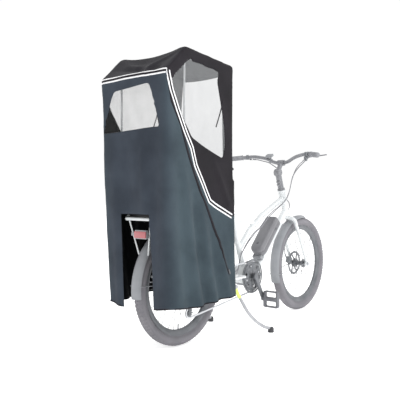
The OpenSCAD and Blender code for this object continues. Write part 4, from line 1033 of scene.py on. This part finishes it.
# ---------------------------------------------------------------- hoses
HOSE_RIGHT = [(974, -213, 1009), (988, -190, 1000), (986, -165, 978), (968, -138, 944), (960, -115, 912),
              (972, -90, 880), (988, -70, 840), (994, -55, 795), (980, -44, 752), (950, -38, 722),
              (905, -34, 694),
              (855, -31, 668), (800, -30, 640), (755, -30, 610), (712, -32, 580), (660, -31, 555),
              (610, -29, 520),
              (560, -28, 480), (500, -29, 420), (470, -32, 350), (430, -20, 328), (400, 20, 324),
              (380, 58, 322),
              (300, 66, 322), (200, 72, 324), (120, 74, 330), (80, 72, 342), (60, 60, 350)]
CABLE = [(954, -194, 1001), (964, -172, 984), (967, -142, 962), (972, -112, 928), (981, -88, 884),
         (992, -66, 835),
         (998, -48, 780), (984, -36, 740), (948, -27, 712), (900, -22, 690), (850, -20, 668), (795, -20, 640),
         (750, -20, 606), (705, -20, 572), (650, -20, 548), (600, -20, 512), (550, -20, 466), (500, -21, 400),
         (478, -26, 345), (450, -36, 322), (400, -62, 322), (300, -68, 322), (200, -76, 324), (100, -84, 320),
         (56, -92, 306), (40, -94, 290), (20, -92, 276)]
HOSE_LEFT = [(974, 213, 1009), (990, 185, 1006), (1002, 150, 996), (1006, 110, 985), (1006, 70, 962),
             (1004, 40, 940),
             (1003, 24, 900), (1008, 14, 850), (1024, 10, 800), (1046, 9, 756), (1100, 8, 712),
             (1118, 30, 660),
             (1112, 58, 610), (1116, 76, 560), (1136, 80, 500), (1152, 80, 440), (1152, 74, 380),
             (1148, 60, 346)]


def hose_mesh(route, radius):
    """A jacketed hose with a crimped ferrule at each end."""
    path = spline([at(*(c * MM for c in p)) for p in route], 5)
    return swept(path, [radius * 1.4 if min(i, len(path) - 1 - i) < 4 else radius for i in range(len(path))],
                 12)


rear_hoses = tidy(piece("rear_hose_and_cable",
                        *joined([hose_mesh(HOSE_RIGHT, 0.0029), hose_mesh(CABLE, 0.0025)]),
                        "soft_rubber"))
front_hose = tidy(piece("front_brake_hose", *hose_mesh(HOSE_LEFT, 0.0030), "soft_rubber"))
fitted(front_hose, "rubber", "front_hose")
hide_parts("frame_cables")
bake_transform(rear_hoses)

# ---------------------------------------------------------------- saddle and deck pad
SEAT = Vector((0.3632, 0, 0.886))


def make_saddle():
    """The padded cover: wide rounded wings narrowing to the nose, with a shallow channel along the middle."""
    length, rows, around = 0.226, 40, 32
    verts = []
    for i in range(rows + 1):
        t = i / rows
        x = 0.5 * (1 - math.cos(math.pi * t))
        wide = 0.085 * math.sqrt(min(1, x / 0.16)) if x < 0.16 else 0.085
        wide = wide * (1 - 0.79 * min(1, max(0, (x - 0.16) / 0.62)) ** 0.72) if x > 0.16 else wide
        wide *= math.sqrt(max(0.0, 1 - max(0, (x - 0.93) / 0.07) ** 2))
        wide = max(wide, 0.002)
        high = 0.030 * (1 - 0.35 * x) * math.sqrt(max(0.02, 1 - (2 * x - 1) ** 6))
        for k in range(around):
            a = 2 * math.pi * k / around
            y, up = wide * math.cos(a), math.sin(a)
            z = high * (0.72 * max(0, up) ** 0.7 if up > 0 else -0.62 * abs(up) ** 0.5)
            z -= 0.005 * math.exp(-(y / 0.009) ** 2) * (up > 0.5) * math.sin(math.pi * min(1, x * 1.05))
            verts.append(at(*(SEAT + Vector((-0.0195 - length / 2 + x * length, y,
                                             0.034 + z + 0.006 * (1 - x) ** 2)))))
    return tidy(piece("saddle_cover", verts, ring_faces(rows + 1, around), "seat_vinyl"))


def make_rails():
    """Two steel rails with bent ends, and the clamp that holds them to the post."""
    groups = []
    for s in (-1, 1):
        groups.append(swept(bent([at(*(SEAT + Vector((x - 0.010, s * y, z)))) for x, y, z in
                                  ((-0.088, 0.030, 0.026), (-0.066, 0.018, 0.010), (0.050, 0.0165, 0.010),
                                   (0.074, 0.009, 0.024))], 0.014), 0.0035, 12))
    groups.append(barrel(at(*(SEAT + Vector((-0.002, -0.024, 0.011)))),
                         at(*(SEAT + Vector((-0.002, 0.024, 0.011)))),
                         0.0095))
    groups.append(barrel(at(*(SEAT + Vector((-0.002, -0.012, -0.011)))),
                         at(*(SEAT + Vector((-0.002, 0.012, -0.011)))),
                         0.0110))
    return tidy(piece("saddle_rails", *joined(groups), "grey_anodising"))


def make_pad():
    """The deck cushion: three crowned panels with sewn channels between them, on a flat base."""
    low, length, wide, high = 0.678, 0.528, 0.200, 0.044
    across, along = 40, 104
    middle = (-0.268 + 0.300) / 2 + 0.006
    verts = []
    for i in range(along + 1):
        for k in range(across + 1):
            u, v = 2 * i / along - 1, 2 * k / across - 1
            x, y = u * length / 2, v * wide / 2
            reach = 0.024
            dx, dy = max(0, abs(x) - length / 2 + reach), max(0, abs(y) - wide / 2 + reach)
            far = math.hypot(dx, dy)
            if far > reach:
                x, y = (math.copysign(length / 2 - reach + dx * reach / far, x) if dx else x,
                        math.copysign(wide / 2 - reach + dy * reach / far, y) if dy else y)
                far = reach
            edge = math.sqrt(max(0, 1 - (far / reach) ** 2.4))
            seam = min(abs(x - length / 6), abs(x + length / 6))
            z = (high - 0.006) * edge + 0.006 * (1 - u * u * 0.5) * (1 - v * v) * edge
            verts.append(at(middle + x, y, low + z - 0.006 * math.exp(-(seam / 0.0045) ** 2) * edge))
    row = across + 1
    faces = [(i * row + k, i * row + k + 1, (i + 1) * row + k + 1, (i + 1) * row + k)
             for i in range(along) for k in range(across)]
    rim = ([k for k in range(row)] + [i * row + across for i in range(1, along + 1)]
           + [along * row + k for k in range(across - 1, -1, -1)] + [i * row for i in range(along - 1, 0,
                                                                                            -1)])
    count = len(verts)
    verts += [Vector((verts[i].x, verts[i].y, low)) for i in rim]
    faces += [(rim[i], rim[(i + 1) % len(rim)], count + (i + 1) % len(rim),
               count + i) for i in range(len(rim))]
    faces.append(tuple(range(count, count + len(rim))))
    return tidy(piece("deck_cushion", verts, faces, "seat_vinyl"))


saddle_cover = make_saddle()
fitted(saddle_cover, "pad", "saddle")
fitted(make_rails(), "alloy", body="seat")
cushion = make_pad()
fitted(cushion, "pad", "deck_pad")

# ---------------------------------------------------------------- kickstand
SLEEVE = (5, 21)      # the part of the leg's path inside the lime sleeve
LEG = [(0, 95, 0), (2, 95, -12), (10, 104, -42), (20, 124, -82), (34, 142, -125), (56, 160, -163),
       (88, 182, -200),
       (128, 204, -228), (166, 216, -240)]


def make_stand():
    """The two-legged stand: bent tube legs off a cross shaft, rubber feet and a lime sleeve on one leg."""
    left = spline([at(0.360 + x * MM, y * MM, 0.262 + z * MM) for x, y, z in LEG], 8)
    legs = [swept(path, 0.0090, 20) for path in (left, mirrored(left))]
    shaft = [barrel(at(0.360, -0.095, 0.262), at(0.360, 0.095, 0.262), 0.0110)]
    shaft += [barrel(at(0.360, s * 0.083, 0.262), at(0.360, s * 0.103, 0.262), 0.0122) for s in (-1, 1)]
    feet = []
    for s in (-1, 1):
        feet.append(turned(at(0.527, s * 0.217, 0), (0, 0, 1),
                           [(0, 0.0148), (0.0022, 0.0170), (0.006, 0.0170), (0.007, 0.0160), (0.009, 0.0160),
                            (0.010, 0.0170), (0.020, 0.0166), (0.027, 0.0140), (0.0295, 0.0100)], 40))
    sleeve = swept(mirrored(left)[SLEEVE[0]:SLEEVE[1]], 0.0097, 20)
    return (tidy(piece("stand_legs", *joined(legs + shaft), "anodised_aluminium")),
            tidy(piece("stand_feet", *joined(feet), "dark_rubber")),
            tidy(piece("stand_sleeve", *sleeve, "lime_sleeve")))


for made, role in zip(make_stand(), ("alloy", "rubber", "trim")):
    fitted(made, role, *(["kickstand"] if role == "alloy" else []), body="kickstand")

# ---------------------------------------------------------------- battery
DOWN = (Vector((0.652, 0, 0.268)), Vector((STEER_X - 0.385 * math.cos(HEAD_ANGLE), 0,
                                           TYRE_R + 0.385 * math.sin(HEAD_ANGLE))))
DOWN_WAY = (DOWN[1] - DOWN[0]).normalized()
DOWN_OUT = Vector((-DOWN_WAY.z, 0, DOWN_WAY.x))
DOCK = DOWN[0] + DOWN_WAY * 0.136 + DOWN_OUT * 0.034


def docked(a, y, n):
    """A place on the down tube: a along it, y to the left, n out of it."""
    return at(*(DOCK + DOWN_WAY * a + Vector((0, y, 0)) + DOWN_OUT * n))


def stadium(inset, low=0.045, far=0.286, half=0.045, corner=0.022, count=16):
    """The battery's outline, drawn in by inset: a round end low down and a squarer one at the top."""
    half, far = half - inset, far - inset
    line = [(low + half * math.cos(a), half * math.sin(a)) for a in
            [math.pi / 2 + math.pi * k / count / 2 for k in range(2 * count + 1)]]
    corner = min(corner, half * 0.98)
    line += [(far - corner + corner * math.sin(a), -half + corner - corner * math.cos(a))
             for a in [math.pi / 2 * k / count for k in range(count + 1)]]
    return line + [(far - corner + corner * math.cos(a), half - corner + corner * math.sin(a))
                   for a in [math.pi / 2 * k / count for k in range(count + 1)]]


def stacked(layers, where):
    """A solid through outlines of equal length, each (outline, height), placed by where(a, y, n)."""
    count = len(layers[0][0])
    verts = [where(a, y, n) for outline, n in layers for a, y in outline]
    return verts, ring_faces(len(layers), count)


def make_battery():
    """Battery case: two moulded halves with a parting groove, a rounded crown, a light bar, a key barrel and a port."""
    high = 0.066
    layers = [(stadium(0.004), 0.0), (stadium(0.0008), 0.003), (stadium(0), 0.008), (stadium(0), 0.0315),
              (stadium(0.0012), 0.0320), (stadium(0.0012), 0.0332), (stadium(0), 0.0337), (stadium(0), 0.046)]
    layers += [(stadium(0.020 * (1 - math.cos(a))), 0.046 + 0.020 * math.sin(a))
               for a in [math.pi / 2 * k / 7 for k in range(1, 8)]]
    case = tidy(piece("battery_case", *stacked(layers, docked), "battery_plastic"))
    bits = [barrel(docked(0.215, -0.0445, 0.020), docked(0.215, -0.0462, 0.020), 0.0085, 0.0004),
            barrel(docked(0.060, 0, high - 0.0005), docked(0.060, 0, high + 0.0010), 0.0090, 0.0004)]
    bar = [docked(0.075 + 0.002 * k, -0.020, high - 0.0050) for k in range(18)]
    return (case, tidy(piece("battery_fittings", *joined(bits), "moulded_plastic_dark")),
            tidy(piece("battery_light_bar", *swept(bar, 0.0028, 14), "reflective_tape")))


for made, nodes in zip(make_battery(), (["battery"], [], [])):
    fitted(made, "plastic", *nodes, body="battery")

# ---------------------------------------------------------------- drive
BB = (0.578, 0.296)      # the crank's axis, ahead of the rear axle and up
TEETH, PITCH = 44, 0.0127


def make_guard():
    """The chain guard disc: an outer ring, three arc windows inside it, and six round holes round an inner disc."""
    middle = at(BB[0], 0, BB[1])
    windows = [[polar(0.0905, 2 * math.pi * (k + f) / 3) for f in np.linspace(0.05, 0.95, 30)]
               + [polar(0.0845, 2 * math.pi * (k + f) / 3) for f in np.linspace(0.95, 0.05,
                                                                                30)] for k in range(3)]
    windows += [circle(0.0095, 24, polar(0.064, math.radians(48 + 60 * k))) for k in range(6)]
    plate = cut_plate(circle(0.100, 120), [circle(0.0105, 32)] + windows, -0.0575, -0.0550, middle)
    rim = turned(middle + Vector((0, -0.0545, 0)), (0, -1, 0),
                 [(0, 0.0930), (0.0004, 0.0990), (0.0012, 0.1000), (0.0030, 0.1000), (0.0034, 0.0990),
                  (0.0034, 0.0930),
                  (0.0030, 0.0922), (0.0006, 0.0922)], 120, ring=True)
    return tidy(piece("guard_disc", *joined([plate, rim]), "grey_anodising"), 1e-6)


def make_ring():
    """The chainring: 44 teeth, a cut-out spider, and its boss."""
    middle = at(BB[0], 0, BB[1])
    reach = PITCH / 2 / math.sin(math.pi / TEETH)
    outline = []
    for k in range(TEETH):
        for f, r in ((-0.30, -0.0032), (-0.20, -0.0018), (-0.08, 0.0031), (0.08, 0.0031), (0.20, -0.0018),
                     (0.30, -0.0032), (0.42, -0.0040)):
            outline.append(polar(reach + r, 2 * math.pi * (k + f) / TEETH))
    holes = [[polar(0.074, 2 * math.pi * (k + f) / 4 + 0.785) for f in np.linspace(0.14, 0.86, 16)]
             + [polar(0.034, 2 * math.pi * (k + f) / 4 + 0.785) for f in np.linspace(0.72, 0.28,
                                                                                     8)] for k in range(4)]
    plate = cut_plate(outline, [circle(0.0125, 32)] + holes, -0.0490, -0.0470, middle)
    boss = turned(middle + Vector((0, -0.0550, 0)), (0, 1, 0), [(0, 0.0125), (0, 0.028), (0.0012, 0.0295),
                                                               (0.0078, 0.0295), (0.009, 0.028),
                                                               (0.009, 0.0125)],
                  48, ring=True)
    return tidy(piece("ring_teeth", *joined([plate, boss]), "drawn_steel"), 1e-6)


fitted(make_guard(), "dark_metal", "chainring")
fitted(make_ring(), "steel", body="crank")
bolts = repeated("guard_bolts", hex_bolt(0.0050, 0.0022),
                 [(at(BB[0] + 0.062 * math.cos(a), -0.0575, BB[1] + 0.062 * math.sin(a)), (0, 0, 1),
                   (0, -1, 0))
                  for a in [math.radians(18 + 90 * k) for k in range(4)]], "drawn_steel")
fitted(bolts, "steel", body="crank")



# ---------------------------------------------------------------- wheels
ROTOR_F, ROTOR_R = 0.038, 0.046
TYRE_MID = 0.310 - 0.057 / 2 + 0.0005      # middle of the tyre's section, from the axle
TYRE_HALF = (TYRE_R - TYRE_MID - 0.0018, 0.0288)
BEAD = (TYRE_R - 0.057, 0.0137)


def make_tyre(name, x):
    """The carcass: a rounded crown below the knobs, ribbed sidewalls, and beads hooked into the rim."""
    def arc(high, wide, start, end, count):
        return [(wide * math.cos(math.radians(a)), TYRE_MID + high * math.sin(math.radians(a)))
                for a in np.linspace(start, end, count)]

    outer = arc(*TYRE_HALF, -38, 218, 65)
    outer = [(y * (1 + 0.012 * (r < TYRE_MID + 0.006 and math.sin(abs(y) * 2600) > 0.3)), r) for y,
             r in outer]
    inner = arc(TYRE_HALF[0] - 0.0042, TYRE_HALF[1] - 0.0032, 216, -36, 33)
    profile = ([(BEAD[1], BEAD[0] + 0.0002), (BEAD[1], BEAD[0] + 0.0055)] + outer
               + [(-BEAD[1], BEAD[0] + 0.0055), (-BEAD[1], BEAD[0] + 0.0002),
                  (0.003 - BEAD[1], BEAD[0] + 0.0002)]
               + inner + [(BEAD[1] - 0.003, BEAD[0] + 0.0002)])
    return tidy(piece(name, *turned(at(x, 0, TYRE_R), (0, 1, 0), profile, 180, ring=True), "tyre_rubber"))


def tread_places(x):
    """Places for the tyre's knobs: three staggered rows of blocks and a shoulder row each side."""
    places = []
    for row, (turn, count) in enumerate(((0.0, 92), (0.42, 92), (-0.42, 92), (0.86, 92), (-0.86, 92))):
        for k in range(count):
            a = 2 * math.pi * (k + 0.5 * (row % 2)) / count
            away = Vector((math.cos(a), 0, math.sin(a)))
            out = away * math.cos(turn) + Vector((0, 1, 0)) * math.sin(turn)
            skin = away * (TYRE_MID + TYRE_HALF[0] * math.cos(turn)) + Vector((0,
                                                                               TYRE_HALF[1] * math.sin(turn),
                                                                               0))
            round_way = Vector((-math.sin(a), 0, math.cos(a)))
            places.append((at(x, 0, TYRE_R) + skin - out * 0.0016, round_way, out))
    return places


def make_rotor(x, y, bore):
    """A brake disc: drilled and waved friction ring on six swept arms."""
    wave = [polar(0.0790 + 0.0010 * math.cos(12 * a), a) for a in [2 * math.pi * k / 180 for k in range(180)]]
    holes = []
    for k in range(6):
        a = 2 * math.pi * k / 6
        holes.append([polar(0.0640, a + 0.10 + 0.82 * f) for f in np.linspace(0, 1, 12)]
                     + [polar(0.0270, a - 0.30 + 0.60 * f) for f in np.linspace(1, 0, 8)])
    for k in range(36):
        holes.append(circle(0.0022, 10, polar(0.0690 + 0.0042 * (k % 2), 2 * math.pi * k / 36)))
    plate = cut_plate(wave, [circle(bore, 40)] + holes, y - 0.0009, y + 0.0009, at(x, 0, TYRE_R))
    return tidy(piece("rotor_%d" % (x > 0), *plate, "disc_steel", False), 1e-6)


for body, x, rotor_y in (("rear_wheel", 0, ROTOR_R), ("front_wheel", WHEELBASE, ROTOR_F)):
    knobs = repeated(body + "_tread", block(0.0125, 0.0085, 0.0034), tread_places(x), "tyre_rubber", 1.0,
                     0.08, 7)
    fitted(knobs, "tyre", body=body)
    fitted(make_tyre(body + "_tyre", x), "tyre", body.split("_")[0] + "_tyre")
    fitted(make_rotor(x, rotor_y, 0.0160 if x == 0 else 0.0140), "steel", body.split("_")[0] + "_rotor")

# ---------------------------------------------------------------- castings and mouldings with eased edges
for node, width, finish, slot in (
        ("motor", 0.0030, "cast_housing", "dark_metal"),
        ("battery_dock", 0.0015, "moulded_plastic", "plastic"),
        ("stem", 0.0012, "bar_alloy", "alloy"), ("display", 0.0015, "moulded_plastic", "plastic"),
        ("tail_light", 0.0015, "moulded_plastic_pale", "plastic"), ("tail_lens", 0.0012, "lens", "lens"),
        ("crank_arms", 0.0015, "grey_anodising", "alloy"), ("rack_deck", 0.0015, "timber", "wood"),
        ("pedal_right", 0.0010, "pedal_plastic", "plastic"),
        ("pedal_left", 0.0010, "pedal_plastic", "plastic"),
        ("front_caliper", 0.0012, "cast_housing", "dark_metal"),
        ("rear_caliper", 0.0012, "cast_housing", "dark_metal"),
        ("bar_controls", 0.0006, "cast_housing", "plastic"),
        ("derailleur_body", 0.0008, "grey_anodising", "dark_metal"),
        ("seat_collar", 0.0008, "anodised_aluminium", "alloy")):
    eased(node, width, finish, slot)

# ---------------------------------------------------------------- CAD nodes that stay
dress("powder_coat_white", "frame_main", "frame_rear", "rack", "canopy_poles")
dress("moulded_plastic", "rear_fender", "front_fender", "jockey_upper", "jockey_lower", "shift_paddle")
dress("anodised_aluminium", "seat_post", "collar_lever")
dress("grey_anodising", "front_rim", "rear_rim", "front_hub", "rear_hub", "derailleur_cage")
dress("drawn_steel", "rear_axle", "front_axle", "chain", "cassette")
dress("spoke_steel", "front_spokes", "rear_spokes")
dress("moulded_plastic_dark", "zip_pull_right", "zip_pull_left")

# ---------------------------------------------------------------- floor
def paper(name):
    """Seamless white backdrop paper, lit so that only contact shadows show on it."""
    made, tree, shader, where = blank(name)
    fibre = add(tree, "ShaderNodeTexNoise", {"Vector": where.outputs["Object"], "Scale": 900.0})
    raised = add(tree, "ShaderNodeBump", {"Height": fibre.outputs["Fac"], "Strength": 0.05,
                                          "Distance": 0.1 * MM})
    tree.links.new(raised.outputs["Normal"], shader.inputs["Normal"])
    shader.inputs["Base Color"].default_value = colour("#ffffff")
    shader.inputs["Roughness"].default_value = 1.0
    shader.inputs["Specular IOR Level"].default_value = 0.0
    shader.inputs["Emission Color"].default_value = colour("#ffffff")
    shader.inputs["Emission Strength"].default_value = 0.42
    return made


FINISH["backdrop_paper"] = paper("backdrop_paper")
floor = piece("floor", [(-30, -30, 0), (30, -30, 0), (30, 30, 0), (-30, 30, 0)], [(0, 1, 2, 3)],
              "backdrop_paper", False)
